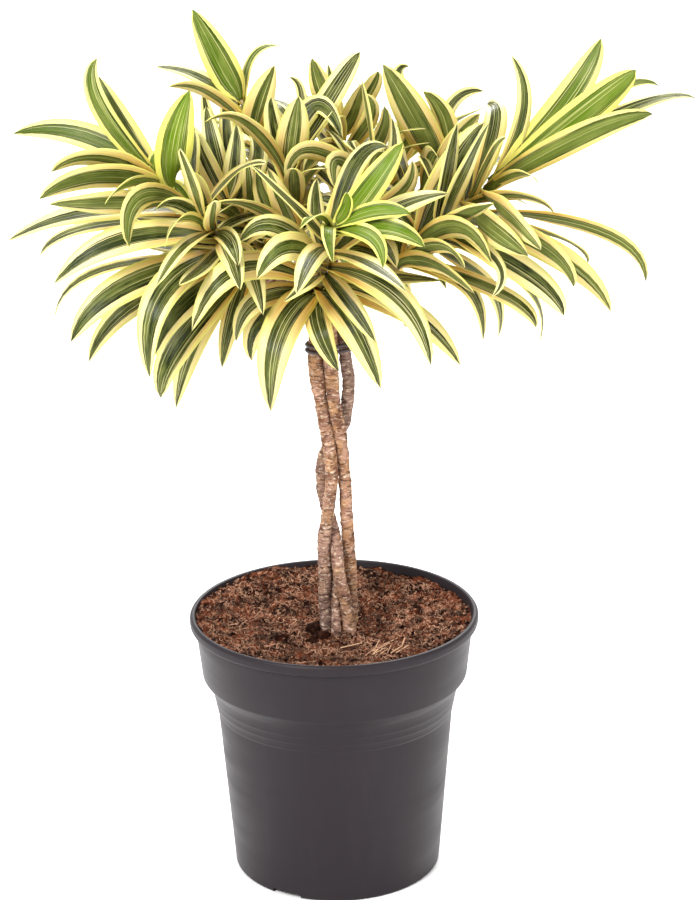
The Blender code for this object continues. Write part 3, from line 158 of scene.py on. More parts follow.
# Leaves that the front view shows singly, for each shoot: how far up it the leaf sits (0 to 1), its
# tip and its middle as (pixel right, pixel down, millimetres nearer), width in millimetres, and
# how squarely its face meets the viewer (0 to 1) and how young and bright it is (0 to 1).
SeenLeaf = namedtuple("SeenLeaf", "share tip middle width facing fresh", defaults=(0,))
SEEN_LEAVES = {
    "head_01": [
        (0.45, (8, 241, 75), (88, 213, 65), 23, 0.35), (0.93, (13, 134, 20), (84, 135, 35), 22, 0.3, 0.35),
        (0.9, (98, 76, 20), (119, 124, 35), 24, 0.9, 0.2),
        (0.96, (97, 58, 40), (99, 105, 50), 16, 0.4, 0.5),
        (0.75, (190, 90, 60), (175, 141, 70), 29, 0.9, 0.9),
        (0.88, (51, 172, 70), (99, 158, 70), 22, 0.45, 0.15),
        (0.8, (39, 199, 84), (98, 177, 84), 25, 0.5, 0.1), (0.6, (49, 204, 100), (117, 203, 92), 25, 0.5),
        (0.88, (105, 204, 111), (128, 184, 98), 13, 0.3, 0.6),
        (0.98, (179, 164, 51), (158, 156, 51), 11, 0.6, 0.8),
        (0.61, (129, 247, 132), (138, 200, 128), 20, 0.7, 0.15),
        (0.35, (40, 256, 10), (88, 227, 20), 16, 0.15),
        (0.945, (157, 152, 40), (157, 167, 41), 14, 0.8, 1.0),
        (0.81, (194, 213, 46), (176, 190, 47), 15, 0.7, 0.8),
    ],
    "head_02": [
        (0.7, (54, 284, 115), (122, 240, 110), 25, 0.5), (0.12, (54, 325, 30), (103, 269, 40), 11, 0.2),
        (0.25, (71, 342, 120), (129, 284, 105), 26, 0.7), (0.15, (89, 362, 85), (138, 301, 80), 21, 0.6),
        (0.4, (150, 378, 140), (162, 294, 130), 26, 0.7), (0.05, (154, 357, 110), (185, 302, 100), 24, 0.7),
        (0.02, (161, 398, 90), (181, 341, 85), 26, 0.7), (0.08, (176, 408, 50), (199, 332, 55), 23, 0.6),
        (0.03, (222, 368, 60), (232, 316, 60), 17, 0.6),
        (0.92, (165, 247, 130), (180, 219, 120), 12, 0.3, 0.4),
        (0.75, (238, 266, 140), (230, 240, 130), 15, 0.6),
    ],
    "head_03": [
        (0.12, (192, 331, 130), (240, 268, 120), 24, 0.5),
        (0.06, (271, 412, 130), (279, 334, 120), 29, 0.9),
        (0.03, (339, 371, 120), (319, 327, 112), 20, 0.95),
        (0.1, (381, 389, 130), (351, 321, 122), 26, 0.85), (0.02, (236, 342, 92), (258, 300, 99), 18, 0.8),
        (0.07, (252, 361, 70), (262, 320, 80), 20, 0.6), (0.4, (431, 366, 145), (397, 297, 135), 22, 0.7),
        (0.1, (461, 366, 60), (405, 310, 65), 22, 0.5),
        (0.45, (257, 279, 150), (287, 247, 140), 23, 0.8, 0.15),
        (0.46, (240, 242, 120), (275, 226, 120), 18, 0.6, 0.1),
        (0.9, (300, 229, 150), (316, 216, 140), 14, 0.4, 0.6),
        (0.93, (333, 263, 155), (328, 232, 150), 12, 0.3, 0.6),
        (0.8, (403, 142, 95), (372, 185, 105), 22, 0.85, 0.95),
        (0.95, (411, 214, 140), (375, 211, 135), 17, 0.5, 1),
        (0.87, (425, 247, 150), (385, 228, 145), 20, 0.5, 0.8),
        (0.92, (383, 268, 164), (371, 236, 154), 14, 0.5, 0.9),
        (0.99, (346, 192, 125), (346, 208, 120), 12, 0.6, 1),
        (0.3, (284, 302, 135), (307, 284, 130), 12, 0.3), (0.2, (441, 281, 45), (388, 278, 50), 17, 0.2),
        (0.16, (418, 335, 80), (378, 297, 85), 14, 0.2), (0.7, (388, 147, 60), (355, 165, 80), 16, 0.5),
        (0.5, (317, 178, 70), (316, 215, 75), 14, 0.8),
    ],
    "head_04": [
        (0.93, (636, 70, 30), (588, 110, 40), 27, 0.8, 0.7),
        (0.96, (601, 38, -24), (568, 99, -10), 26, 0.8, 0.6),
        (0.89, (659, 86, -17), (600, 98, -4), 9, 0.3, 0.4),
        (0.84, (653, 114, 55), (586, 134, 62), 21, 0.7, 0.2),
        (0.8, (695, 98, -20), (622, 112, -15), 13, 0.1),
        (0.9, (511, 55, -10), (523, 112, 0), 14, 0.5, 0.15),
        (0.65, (487, 104, -55), (495, 124, -20), 20, 0.8), (0.6, (554, 213, 60), (522, 196, 55), 13, 0.3),
        (0.88, (539, 186, 55), (522, 174, 45), 11, 0.1, 0.3),
        (0.45, (646, 282, 60), (598, 230, 60), 16, 0.5), (0.35, (611, 312, 80), (556, 255, 78), 23, 0.7),
        (0.4, (588, 263, 66), (555, 236, 62), 12, 0.3), (0.41, (574, 287, 104), (539, 245, 104), 22, 0.6),
        (0.79, (541, 250, 138), (513, 220, 122), 20, 0.6),
        (0.55, (528, 256, 131), (493, 230, 118), 22, 0.7),
    ],
    "head_05": [
        (0.4, (484, 122, 50), (450, 172, 65), 26, 0.9), (0.3, (491, 262, 105), (455, 226, 95), 18, 0.4),
        (0.15, (465, 269, 110), (440, 246, 100), 14, 0.4), (0.05, (475, 294, 90), (430, 263, 80), 18, 0.4),
        (0.1, (483, 341, 56), (464, 285, 54), 16, 0.4), (0.2, (536, 328, 64), (502, 294, 58), 17, 0.3),
        (0.7, (538, 346, 60), (524, 283, 65), 12, 0.2), (0.85, (564, 316, 94), (528, 274, 82), 23, 0.6),
        (0.95, (492, 297, 120), (497, 262, 112), 12, 0.2), (0.54, (498, 337, 14), (488, 285, 17), 16, 0.5),
    ],
    "head_06": [
        (0.96, (192, 9, -20), (219, 60, -20), 26, 0.9, 0.6),
        (0.92, (281, 46, -40), (252, 58, -40), 9, 0.0, 0.4),
        (0.85, (156, 67, -10), (203, 79, -15), 16, 0.4), (0.7, (168, 87, 5), (206, 92, -5), 17, 0.4),
        (0.6, (275, 65, 0), (259, 105, 0), 23, 0.85),
    ],
    "head_07": [
        (0.9, (193, 125, 15), (205, 160, 20), 17, 0.7), (0.95, (236, 124, 15), (235, 165, 25), 18, 0.9),
        (0.88, (206, 106, -15), (214, 150, 5), 17, 0.8), (0.88, (203, 92, -6), (213, 140, 0), 14, 0.6),
        (0.75, (224, 98, -14), (228, 142, -6), 14, 0.7), (0.85, (248, 128, -5), (258, 160, 5), 16, 0.8),
        (0.4, (246, 158, 30), (250, 190, 30), 12, 0.7),
    ],
    "head_08": [
        (0.85, (205, 122, 60), (246, 123, 45), 16, 0.3), (0.9, (299, 96, 15), (293, 135, 18), 26, 0.95),
        (0.6, (271, 97, -12), (275, 132, -4), 17, 0.85), (0.86, (289, 77, -30), (302, 104, -25), 9, 0.5),
        (0.95, (343, 139, 18), (314, 106, -9), 18, 0.6), (0.94, (360, 52, -34), (333, 92, -19), 20, 0.8),
        (0.1, (258, 166, 45), (268, 206, 50), 16, 0.9), (0.11, (268, 168, 73), (283, 205, 68), 18, 0.9),
        (0.05, (205, 208, 100), (252, 206, 85), 13, 0.2),
    ],
    "head_09": [
        (0.97, (312, 58, -55), (323, 92, -52), 20, 0.8), (0.8, (363, 83, -40), (354, 112, -42), 18, 0.7),
        (0.7, (303, 172, 30), (322, 150, 5), 18, 0.6), (0.3, (384, 106, -20), (378, 142, -15), 15, 0.8),
        (0.9, (378, 71, -50), (368, 94, -50), 17, 0.7), (0.93, (328, 64, -64), (334, 98, -60), 12, 0.7),
        (0.6, (363, 94, -15), (370, 118, -20), 14, 0.8),
    ],
    "head_13": [
        (0.8, (286, 180, 40), (312, 150, 38), 17, 0.6), (0.75, (336, 190, 45), (338, 160, 40), 16, 0.8),
        (0.92, (358, 154, 30), (350, 143, 25), 11, 0.5), (0.5, (412, 160, 15), (404, 190, 25), 15, 0.7),
        (0.6, (392, 118, -20), (392, 160, -5), 15, 0.6),
    ],
    "head_10": [
        (0.93, (383, 64, -30), (414, 117, -32), 29, 0.95), (0.97, (423, 91, -40), (446, 122, -42), 19, 0.8),
        (0.75, (484, 91, -80), (448, 110, -68), 14, 0.6), (0.76, (409, 66, -80), (399, 92, -72), 15, 0.5),
    ],
}

# The crown's dense part in the front view. Only the leaves listed above reach past it.
CROWN_EDGE = [
    (62, 206), (78, 172), (98, 150), (146, 150), (160, 160), (192, 128), (202, 104), (245, 96),
    (262, 84), (282, 100), (300, 90), (330, 96), (356, 76), (377, 88), (402, 92), (425, 116),
    (455, 116), (482, 104), (502, 110), (522, 142), (560, 132), (600, 126), (560, 170),
    (566, 215), (600, 250), (560, 262), (520, 258), (492, 250), (474, 262), (468, 300),
    (440, 290), (420, 310), (400, 345), (372, 350), (345, 335), (318, 345), (290, 352),
    (268, 345), (250, 312), (222, 318), (200, 352), (172, 372), (148, 350), (118, 322),
    (92, 330), (112, 290), (130, 262), (84, 236),
]

# Leaves: lance-shaped, channelled, stiffly arching.
LEAF_LENGTH = 128 * MM
LEAF_WIDTH = 20 * MM
LEAF_THICKNESS = 1.2 * MM
LEAF_CHANNEL = 0.13
STRAIGHT_STATIONS = (0.16, 0.52)
ARCHED_STATIONS = (0.13, 0.42, 0.72)
HOOKED_STATIONS = (0.12, 0.34, 0.58, 0.80)
LEAF_SPARE_WIDTH = 1.3 * MM
LEAF_SPARE_THICKNESS = 2.0 * MM
CROWDED_SHARE = 0.07
ROD_SIDES = 8
ROD_SPARE = 0.6 * MM
GOLDEN_ANGLE = 137.5
# How far a spiral leaf leans from its stem, in degrees, and droops as a share of its length: the
# youngest, and how much more the oldest.
LEAN = (14, 74)
DROOP = (0.06, 0.40)
TRIES = 24
DEPTH_STEP = 7
SIDE_STEPS = 20
LEVEL_EASE = 0.06

# The pot's finer surface: steps round it, how far its corners are eased and from what angle, and
# the heights of the moulded rings under its shoulder.
POT_STEPS = 144
EDGE_ROUNDING = 0.9 * MM
SHARPEST_EASED = 14
POT_RINGS = (154 * MM, 147.5 * MM, 141 * MM)

# The coir's finer surface, the larger lumps on it as (pixel right, pixel down, millimetres, tone),
# the pixel round which straw-like fibres lie, and how many those are. A tone runs from dark at 0
# to pale at 1, and below nothing it is black peat.
COIR_STEPS = 220
COIR_RINGS = 70
COIR_CLEARANCE = 0.9 * MM
LUMP_HEIGHT = 2.4 * MM
PIT_DEPTH = 3.4 * MM
GRAIN_HEIGHT = 1.6 * MM
CRUMB_SEED = 7
COIR_LUMPS = [
    (314, 622, 10, -1), (322, 629, 9, -1), (313, 632, 8, -1), (281, 636, 8, -0.75), (381, 641, 4, 0.9),
    (392, 633, 3.5, 0.8), (225, 600, 4.5, 0.3), (262, 618, 4, 0.5), (300, 652, 4, 0.4),
    (415, 604, 4.5, 0.3), (436, 618, 4, 0.6), (271, 583, 5, 0.5), (292, 576, 5, 0.4), (396, 585, 4, 0.2),
    (356, 655, 3.5, 0.7),
]
STRAW = (383, 642)
STRAWS = 16

# The canes' finer surface: steps round and along them and their branches.
CANE_AROUND = 24
CANE_ALONG = 260
BRANCH_AROUND = 12
BRANCH_ALONG = 48
# A ring scar is a groove with a swelling above it. It is cut full depth in a thick cane.
THICK_CANE = 5.7 * MM
GROOVE_WIDTH = 0.8 * MM
SWELL_PLACE = 1.7 * MM
SWELL_WIDTH = 1.5 * MM
BARK_WAVES = 9 * MM
# How grey each cane's bark is at its top, halfway down and at the coir, from 0 to 1, and how far
# down from its top the coir is.
BARK_AGE = {"cane_1": (0.1, 0.1, 0.75), "cane_2": (0.05, 0.1, 0.15), "cane_3": (0.85, 0.6, 0.2),
            "cane_4": (0.4, 0.5, 0.5)}
SPAN_OF_BARK = 250
# Two canes are stouter just under the tie, and close against each other there: by what share, how
# far down from the cane's top the stout length's middle lies, and how far it reaches each way.
STOUT = {"cane_1": 0.3, "cane_2": 0.14}
STOUT_MIDDLE = 34
STOUT_REACH = 30

# The leaves' finer surface: steps across and along a blade, how broad its foot is as a share of its
# width, how far the foot is lifted to wrap the stem, and how far the tip may twist either way.
LEAF_ACROSS = 4
LEAF_ALONG = 14
LEAF_FOOT = 0.62
STEM_GIRTH = 3.6 * MM
LEAF_TWIST = 0.22
# How bright the youngest spiral leaves of each shoot are. The others carry little young growth.
FLUSHES = {"head_01": 0.8, "head_03": 0.9, "head_04": 0.5, "head_06": 0.5, "head_11": 0.6, "head_12": 0.6}
FLUSH = 0.15


def view_axes():
    """The front view's rightward, upward and forward directions."""
    turn = math.radians(VIEW_TURN)
    pitch = math.radians(VIEW_PITCH)
    roll = math.radians(VIEW_ROLL)
    ahead = Vector((math.sin(turn) * math.cos(pitch), math.cos(turn) * math.cos(pitch), -math.sin(pitch)))
    level = Vector((math.cos(turn), -math.sin(turn), 0))
    upright = level.cross(ahead)
    rightward = level * math.cos(roll) + upright * math.sin(roll)
    upward = upright * math.cos(roll) - level * math.sin(roll)
    return rightward, upward, ahead


EYE = Vector((0, -VIEW_DISTANCE, VIEW_HEIGHT))
VIEW_AXES = view_axes()


def pixel_ray(across, down):
    """The direction from the viewer's eye through a pixel of the front view."""
    rightward, upward, ahead = VIEW_AXES
    ray = ahead + rightward * ((across - VIEW_CENTRE[0]) / VIEW_FOCAL)
    return ray + upward * ((VIEW_CENTRE[1] - down) / VIEW_FOCAL)


def seen_point(spot):
    """The point that the front view shows at a pixel, so many millimetres nearer than the trunk."""
    across, down, nearer = spot
    ray = pixel_ray(across, down)
    return EYE + ray * ((-nearer * MM - EYE.y) / ray.y)


def pixel_of(point):
    """The front view's pixel for a point."""
    rightward, upward, ahead = VIEW_AXES
    ray = point - EYE
    scale = VIEW_FOCAL / ray.dot(ahead)
    return VIEW_CENTRE[0] + ray.dot(rightward) * scale, VIEW_CENTRE[1] - ray.dot(upward) * scale


def inside_outline(spot, outline):
    """Whether a pixel lies inside a closed outline."""
    inside = False
    for (x0, y0), (x1, y1) in zip(outline, outline[1:] + outline[:1]):
        if (y0 > spot[1]) != (y1 > spot[1]) and spot[0] < x0 + (spot[1] - y0) * (x1 - x0) / (y1 - y0):
            inside = not inside
    return inside


def arc_point(arc, t):
    """A point on a parabolic arc given by its start, its bend point and its end."""
    start, bend, end = arc
    return start * (1 - t) ** 2 + bend * (2 * t * (1 - t)) + end * t ** 2


def arc_heading(arc, t):
    start, bend, end = arc
    return ((bend - start) * (1 - t) + (end - bend) * t).normalized()


def square_to(vector, direction):
    """The part of a vector that is square to a direction, at unit length."""
    return (vector - direction * vector.dot(direction)).normalized()


def shoot_arc(shoot):
    """A shoot's axis, straight from its foot to its growing point."""
    foot = seen_point(shoot.foot)
    tip = seen_point(shoot.tip)
    return foot, (foot + tip) / 2, tip


Blade = namedtuple("Blade", "arc sides width stations share fresh")


def width_share(t):
    """A leaf's width along its length, as a share of its widest."""
    return (t + 0.02) ** 0.55 * (1 - t) ** 0.72


def stations_for(arc):
    """Where a blade has its sections: the more it bends, the more of them."""
    bend = math.degrees(arc_heading(arc, 0).angle(arc_heading(arc, 1)))
    if bend < 20:
        return STRAIGHT_STATIONS
    return ARCHED_STATIONS if bend < 62 else HOOKED_STATIONS


WIDEST = max(width_share(step / 100) for step in range(100))


def carried_sides(arc, side, facing):
    """A blade's sideways directions along its length: eased level, and turned to face the viewer.

    Each is carried on from the one before, so that a blade never turns over.
    """
    sides = []
    flat = side
    for step in range(SIDE_STEPS + 1):
        t = step / SIDE_STEPS
        heading = arc_heading(arc, t)
        side = square_to(side, heading)
        level = heading.cross(UP)
        if level.dot(side) < 0:
            level.negate()
        side = square_to(side.lerp(level, LEVEL_EASE * level.length), heading)
        across = heading.cross((EYE - arc_point(arc, t)).normalized())
        if across.dot(flat if step else side) < 0:
            across.negate()
        flat = across
        weight = facing * min(1, t / 0.3) * min(1, flat.length / 0.3)
        sides.append(square_to(side.lerp(flat.normalized(), weight), heading))
    return sides


def blade_section(blade, t):
    """A blade's centre, its sideways direction and its upper face's normal at a share of its length."""
    heading = arc_heading(blade.arc, t)
    place = min(int(t * SIDE_STEPS), SIDE_STEPS - 1)
    side = blade.sides[place].lerp(blade.sides[place + 1], t * SIDE_STEPS - place)
    side = square_to(side, heading)
    return arc_point(blade.arc, t), side, heading.cross(side)


def spindle_faces(rings, corners):
    """Triangles of a loft from a root point, through rings of equal corners, to a tip point.

    Every other strip is split the other way, so that a blade's two faces fold alike.
    """
    root = rings * corners
    last = (rings - 1) * corners
    faces = []
    for step in range(corners):
        beside = (step + 1) % corners
        faces.append((root, step, beside))
        for here in range(step, last, corners):
            next_here = here - step + beside
            if step % 2:
                faces.append((next_here, here, here + corners))
                faces.append((next_here, here + corners, next_here + corners))
            else:
                faces.append((here, next_here + corners, next_here))
                faces.append((here, here + corners, next_here + corners))
        faces.append((last + beside, last + step, root + 1))
    return faces


def blade_loft(blade, first=0, spare_width=0, spare_thickness=0):
    """Corners and triangles of a blade: a shallow channel, thickest along its midrib."""
    corners = []
    for t in blade.stations:
        centre, side, normal = blade_section(blade, t)
        half = blade.width / 2 * width_share(t) / WIDEST
        lift = normal * (LEAF_CHANNEL * 2 * half * (1 - 0.5 * t))
        reach = side * (half + spare_width)
        rib = normal * ((LEAF_THICKNESS + spare_thickness) / 2)
        corners.extend((centre - reach + lift, centre + rib, centre + reach + lift, centre - rib))
    corners.append(arc_point(blade.arc, first))
    corners.append(arc_point(blade.arc, 1))
    return corners, spindle_faces(len(blade.stations), 4)


def growing_frame(arc, share):
    """Where a leaf sits on its shoot, and the shoot's direction there."""
    return arc_point(arc, share), arc_heading(arc, share)


def seen_blade(leaf, stem, attempt):
    """A leaf drawn from the front view. Later attempts move it nearer or farther and turn it edge on."""
    root, along = growing_frame(stem, leaf.share)
    step = (attempt + 1) // 2 * DEPTH_STEP * (1 if attempt % 2 else -1)
    tip = seen_point((leaf.tip[0], leaf.tip[1], leaf.tip[2] + step))
    middle = seen_point((leaf.middle[0], leaf.middle[1], leaf.middle[2] + step * 0.6))
    bend = middle * 2 - (root + tip) / 2
    outward = square_to(bend - root, along)
    arc = (root, bend, tip)
    facing = leaf.facing * (1 - attempt / TRIES)
    sides = carried_sides(arc, along.cross(outward), facing)
    return Blade(arc, sides, leaf.width * MM, stations_for(arc), leaf.share, leaf.fresh)


def grown_blade(name, stem, share, turn, spread, attempt, draw):
    """A leaf placed by the shoot's spiral: young ones stand up, old ones spread and hang."""
    root, along = growing_frame(stem, share)
    age = 1 - share
    turn += draw.uniform(-5, 5) * attempt
    level = square_to(UP if abs(along.z) < 0.9 else Vector((0, 1, 0)), along)
    outward = Matrix.Rotation(math.radians(turn), 3, along) @ level
    lean = math.radians(LEAN[0] + LEAN[1] * spread * age ** 0.8 + draw.uniform(-7, 7))
    heading = along * math.cos(lean) + outward * math.sin(lean)
    length = LEAF_LENGTH * (0.6 + 0.4 * min(1, age / 0.2)) * draw.uniform(0.88, 1.12)
    length *= 1 - 0.02 * attempt
    droop = DROOP[0] + DROOP[1] * spread * age + draw.uniform(-0.06, 0.10)
    droop += draw.uniform(-0.03, 0.03) * attempt
    bend = root + heading * (length * 0.5)
    tip = root + (heading * (1 - 0.35 * droop) - UP * droop) * length
    width = LEAF_WIDTH * (0.72 + 0.28 * min(1, age / 0.3)) * draw.uniform(0.85, 1.12)
    arc = (root, bend, tip)
    fresh = FLUSHES.get(name, FLUSH) * max(0, 5 * share - 4)
    sides = carried_sides(arc, along.cross(outward), 0)
    return Blade(arc, sides, width, stations_for(arc), share, fresh)


class Obstacle:
    """A placed solid that a new leaf keeps clear of."""

    def __init__(self, shoot, corners, faces, outer=None):
        self.shoot = shoot
        self.low = Vector(min(point[axis] for point in corners) for axis in range(3))
        self.high = Vector(max(point[axis] for point in corners) for axis in range(3))
        self.tree = BVHTree.FromPolygons(corners, faces)
        self.outer = outer

    def near(self, other):
        return all(self.low[axis] <= other.high[axis] and other.low[axis] <= self.high[axis]
                   for axis in range(3))


def placed(blade, shoot):
    outer = BVHTree.FromPolygons(*blade_loft(blade, first=CROWDED_SHARE))
    return Obstacle(shoot, *blade_loft(blade), outer)


def crosses_itself(corners, faces):
    """Whether a solid's surface passes through itself away from shared corners."""
    tree = BVHTree.FromPolygons(corners, faces)
    return any(not set(faces[one]) & set(faces[other]) for one, other in tree.overlap(tree))


def is_clear(blade, shoot, obstacles):
    """Whether a blade, with its spare room, crosses nothing outside its own shoot's centre."""
    if crosses_itself(*blade_loft(blade)):
        return False
    room = Obstacle(shoot, *blade_loft(blade, 0, LEAF_SPARE_WIDTH, LEAF_SPARE_THICKNESS))
    half_room = (LEAF_SPARE_WIDTH / 2, LEAF_SPARE_THICKNESS / 2)
    outer = BVHTree.FromPolygons(*blade_loft(blade, CROWDED_SHARE, *half_room))
    for other in obstacles:
        if not room.near(other):
            continue
        if other.shoot != shoot:
            if room.tree.overlap(other.tree):
                return False
        elif other.outer is not None and outer.overlap(other.outer):
            return False
    return True


class SeenLeaves:
    """The leaves that the front view shows, which later leaves may not cover."""

    SAMPLES = (0.3, 0.45, 0.6, 0.75, 0.9)

    def __init__(self):
        self.spots = []
        self.covered = []

    def add(self, blade):
        for t in self.SAMPLES:
            centre, side, normal = blade_section(blade, t)
            self.spots.append((len(self.spots) // len(self.SAMPLES), centre))
        self.covered.append(0)

    def cover(self, blade):
        """How many spots of each seen leaf a new blade would cover, or None where it is too many."""
        tree = BVHTree.FromPolygons(*blade_loft(blade))
        hits = {}
        for index, centre in self.spots:
            towards = (EYE - centre).normalized()
            if tree.ray_cast(centre + towards * (2 * MM), towards)[0] is not None:
                hits[index] = hits.get(index, 0) + 1
                if hits[index] + self.covered[index] > 1:
                    return None
        return hits


def lay_out_leaves(arcs, solids):
    """Places every leaf of every shoot clear of the others, and returns each shoot's blades."""
    blades = {name: [] for name in SHOOTS}
    obstacles = list(solids)
    seen = SeenLeaves()
    free = {name: list(range(shoot.leaves)) for name, shoot in SHOOTS.items()}
    for name, rows in SEEN_LEAVES.items():
        count = SHOOTS[name].leaves
        for leaf in (SeenLeaf(*row) for row in rows):
            for attempt in range(TRIES):
                blade = seen_blade(leaf, arcs[name], attempt)
                if is_clear(blade, name, obstacles):
                    blades[name].append(blade)
                    obstacles.append(placed(blade, name))
                    seen.add(blade)
                    free[name].remove(min(free[name], key=lambda slot: abs(slot / count - leaf.share)))
                    break
    most = max(shoot.leaves for shoot in SHOOTS.values())
    for rank in range(most):
        for name, shoot in SHOOTS.items():
            slot = shoot.leaves - 1 - rank
            if slot not in free[name]:
                continue
            blade = fitting_blade(name, slot, arcs[name], obstacles, seen)
            if blade is not None:
                blades[name].append(blade)
                obstacles.append(placed(blade, name))
    return blades


def fitting_blade(name, slot, arc, obstacles, seen):
    """The first attempt at a spiral's leaf that is clear, inside the crown and covers no seen leaf."""
    shoot = SHOOTS[name]
    draw = random.Random(f"{name} leaf {slot}")
    share = 0.02 + 0.96 * slot / shoot.leaves
    for attempt in range(TRIES):
        turn = shoot.turn + GOLDEN_ANGLE * slot
        blade = grown_blade(name, arc, share, turn, shoot.spread, attempt, draw)
        if not all(inside_outline(pixel_of(arc_point(blade.arc, t)), CROWN_EDGE) for t in (0.6, 0.8, 1)):
            continue
        if not is_clear(blade, name, obstacles):
            continue
        hits = seen.cover(blade)
        if hits is not None:
            for index, count in hits.items():
                seen.covered[index] += count
            return blade
    return None


def shoot_arcs():
    """Each shoot's axis by its name."""
    return {name: shoot_arc(shoot) for name, shoot in SHOOTS.items()}


def pot_inner_radius(height):
    """The pot's inside radius at a height."""
    inside = pot_profile()[3:9]
    for (low_radius, low), (high_radius, high) in zip(inside, inside[1:]):
        if height <= high:
            return low_radius + (high_radius - low_radius) * (height - low) / (high - low)
    return inside[-1][0]


def soil_height(x, y):
    """The coir's surface: a dish round the canes, hummocks, a rise to the left and a mound at the back."""
    reach = math.hypot(x, y) / RIM_RADIUS
    hummocks = math.sin(x / (19 * MM) + 1.1) * math.sin(y / (16 * MM) + 0.4)
    hummocks += 0.6 * math.sin(x / (8.5 * MM) + y / (13 * MM)) * math.cos(y / (9 * MM) - 0.7)
    slope = (0.2 * y - x) / RIM_RADIUS
    mound_x, mound_y, spread, rise = SOIL_MOUND
    mound = rise * math.exp(-((x - mound_x) ** 2 + (y - mound_y) ** 2) / spread ** 2)
    return SOIL_EDGE - SOIL_DISH * (1 - reach ** 2) + SOIL_RELIEF * (0.4 * hummocks + slope) + mound


def cane_line_point(points, height):
    """A cane's centre at a height, on a smooth curve through its listed points."""
    for place in range(len(points) - 1):
        if points[place + 1][2] <= height:
            break
    high, low = points[place], points[place + 1]
    before = points[max(place - 1, 0)]
    after = points[min(place + 2, len(points) - 1)]
    span = low[2] - high[2]
    t = (height - high[2]) / span
    spot = []
    for axis in (0, 1):
        enter = (low[axis] - before[axis]) / (low[2] - before[2]) * span
        leave = (after[axis] - high[axis]) / (after[2] - high[2]) * span
        change = low[axis] - high[axis]
        spot.append(high[axis] + enter * t + (3 * change - 2 * enter - leave) * t ** 2
                    + (enter + leave - 2 * change) * t ** 3)
    return Vector((*spot, height)) * MM


def lean_between(line, other, level):
    """How far two canes' centre lines part for each metre of height."""
    above = max(level - 1, 0)
    below = min(level + 1, len(line) - 1)
    spread = (other[above] - line[above]) - (other[below] - line[below])
    return spread / (line[above].z - line[below].z)


def cane_lines():
    """Each cane's radius and centre line from its top to its foot, eased apart where they cross."""
    heights = list(range(CANE_TOP, CANE_FOOT, -CANE_STEP)) + [CANE_FOOT]
    lines = {name: [cane_line_point(points, height) for height in heights]
             for name, (radius, points) in CANES.items()}
    names = list(CANES)
    for settle in range(60):
        for level in range(len(heights)):
            for place, name in enumerate(names):
                for other in names[place + 1:]:
                    apart = lines[other][level] - lines[name][level]
                    drift = lean_between(lines[name], lines[other], level).dot(apart.normalized())
                    room = (CANES[name][0] + CANES[other][0]) * MM * math.sqrt(1 + drift ** 2) * CANE_SPACING
                    if apart.length < room:
                        push = apart.normalized() * ((room - apart.length) / 2)
                        lines[other][level] = lines[other][level] + push
                        lines[name][level] = lines[name][level] - push
    return {name: (CANES[name][0] * MM, line) for name, line in lines.items()}


def branch_line(cane_line, arc):
    """A branch's centre line from inside its cane's top to just under its shoot's foot."""
    start = cane_line[1]
    foot = arc[0]
    heading = arc_heading(arc, 0)
    end = foot - heading * SEAT_GAP
    reach = (end - start).length
    rise = start + (cane_line[0] - cane_line[1]).normalized() * (reach * 0.35)
    run_in = end - heading * (reach * 0.35)
    points = []
    for t in BRANCH_STATIONS:
        points.append(start * (1 - t) ** 3 + rise * (3 * t * (1 - t) ** 2)
                      + run_in * (3 * t ** 2 * (1 - t)) + end * t ** 3)
    return points


def cane_spot(line, height):
    """A cane's centre at a height in metres."""
    for high, low in zip(line, line[1:]):
        if low.z <= height:
            break
    return low.lerp(high, (height - low.z) / (high.z - low.z))


def tie_line(canes):
    """The cord's centre line: two turns that hug the canes."""
    points = []
    for step in range(TIE_TURNS * TIE_STEPS):
        angle = math.tau * (step / TIE_STEPS + 0.25)
        outward = Vector((math.cos(angle), math.sin(angle), 0))
        height = TIE_HEIGHT + (step / TIE_STEPS - TIE_TURNS / 2) * TIE_PITCH
        posts = [(cane_spot(line, height), radius) for radius, line in canes.values()]
        middle = sum((spot for spot, radius in posts), Vector()) / len(posts)
        reach = max((spot - middle).dot(outward) + radius for spot, radius in posts)
        points.append(middle + outward * ((reach + TIE_CORD + SEAT_GAP) * TIE_EASE))
    return points


def stem_loft(arc):
    """Corners and faces of a shoot's tapering stem, which ends in a point."""
    heading = arc_heading(arc, 0)
    side = square_to(UP if abs(heading.z) < 0.9 else Vector((0, 1, 0)), heading)
    across = heading.cross(side)
    corners = []
    for step in range(STEM_SIDES):
        angle = math.tau * step / STEM_SIDES
        corners.append(arc[0] + (side * math.cos(angle) + across * math.sin(angle)) * SHOOT_FOOT_RADIUS)
    corners.append(arc_point(arc, STEM_REACH))
    faces = [tuple(range(STEM_SIDES))]
    faces += [(step, (step + 1) % STEM_SIDES, STEM_SIDES) for step in range(STEM_SIDES)]
    return corners, faces


def rod_loft(line, radius):
    """Corners and triangles of a plain rod along a line."""
    corners = []
    for point, side, across, way in line_frames(line):
        for turn in range(ROD_SIDES):
            angle = math.tau * turn / ROD_SIDES
            corners.append(point + (side * math.cos(angle) + across * math.sin(angle)) * radius)
    corners += [line[0], line[-1]]
    return corners, spindle_faces(len(line), ROD_SIDES)


def trunk_solids(canes, arcs):
    """What the leaves keep clear of: the canes, their branches, the tie and the shoots' stems."""
    solids = [Obstacle("", *rod_loft(line, radius + ROD_SPARE)) for radius, line in canes.values()]
    for name, shoot in SHOOTS.items():
        branch = branch_line(canes[shoot.cane][1], arcs[name])
        solids.append(Obstacle("", *rod_loft(branch, BRANCH_RADIUS + ROD_SPARE)))
        solids.append(Obstacle(name, *stem_loft(arcs[name])))
    solids.append(Obstacle("", *rod_loft(tie_line(canes), TIE_CORD + ROD_SPARE)))
    return solids


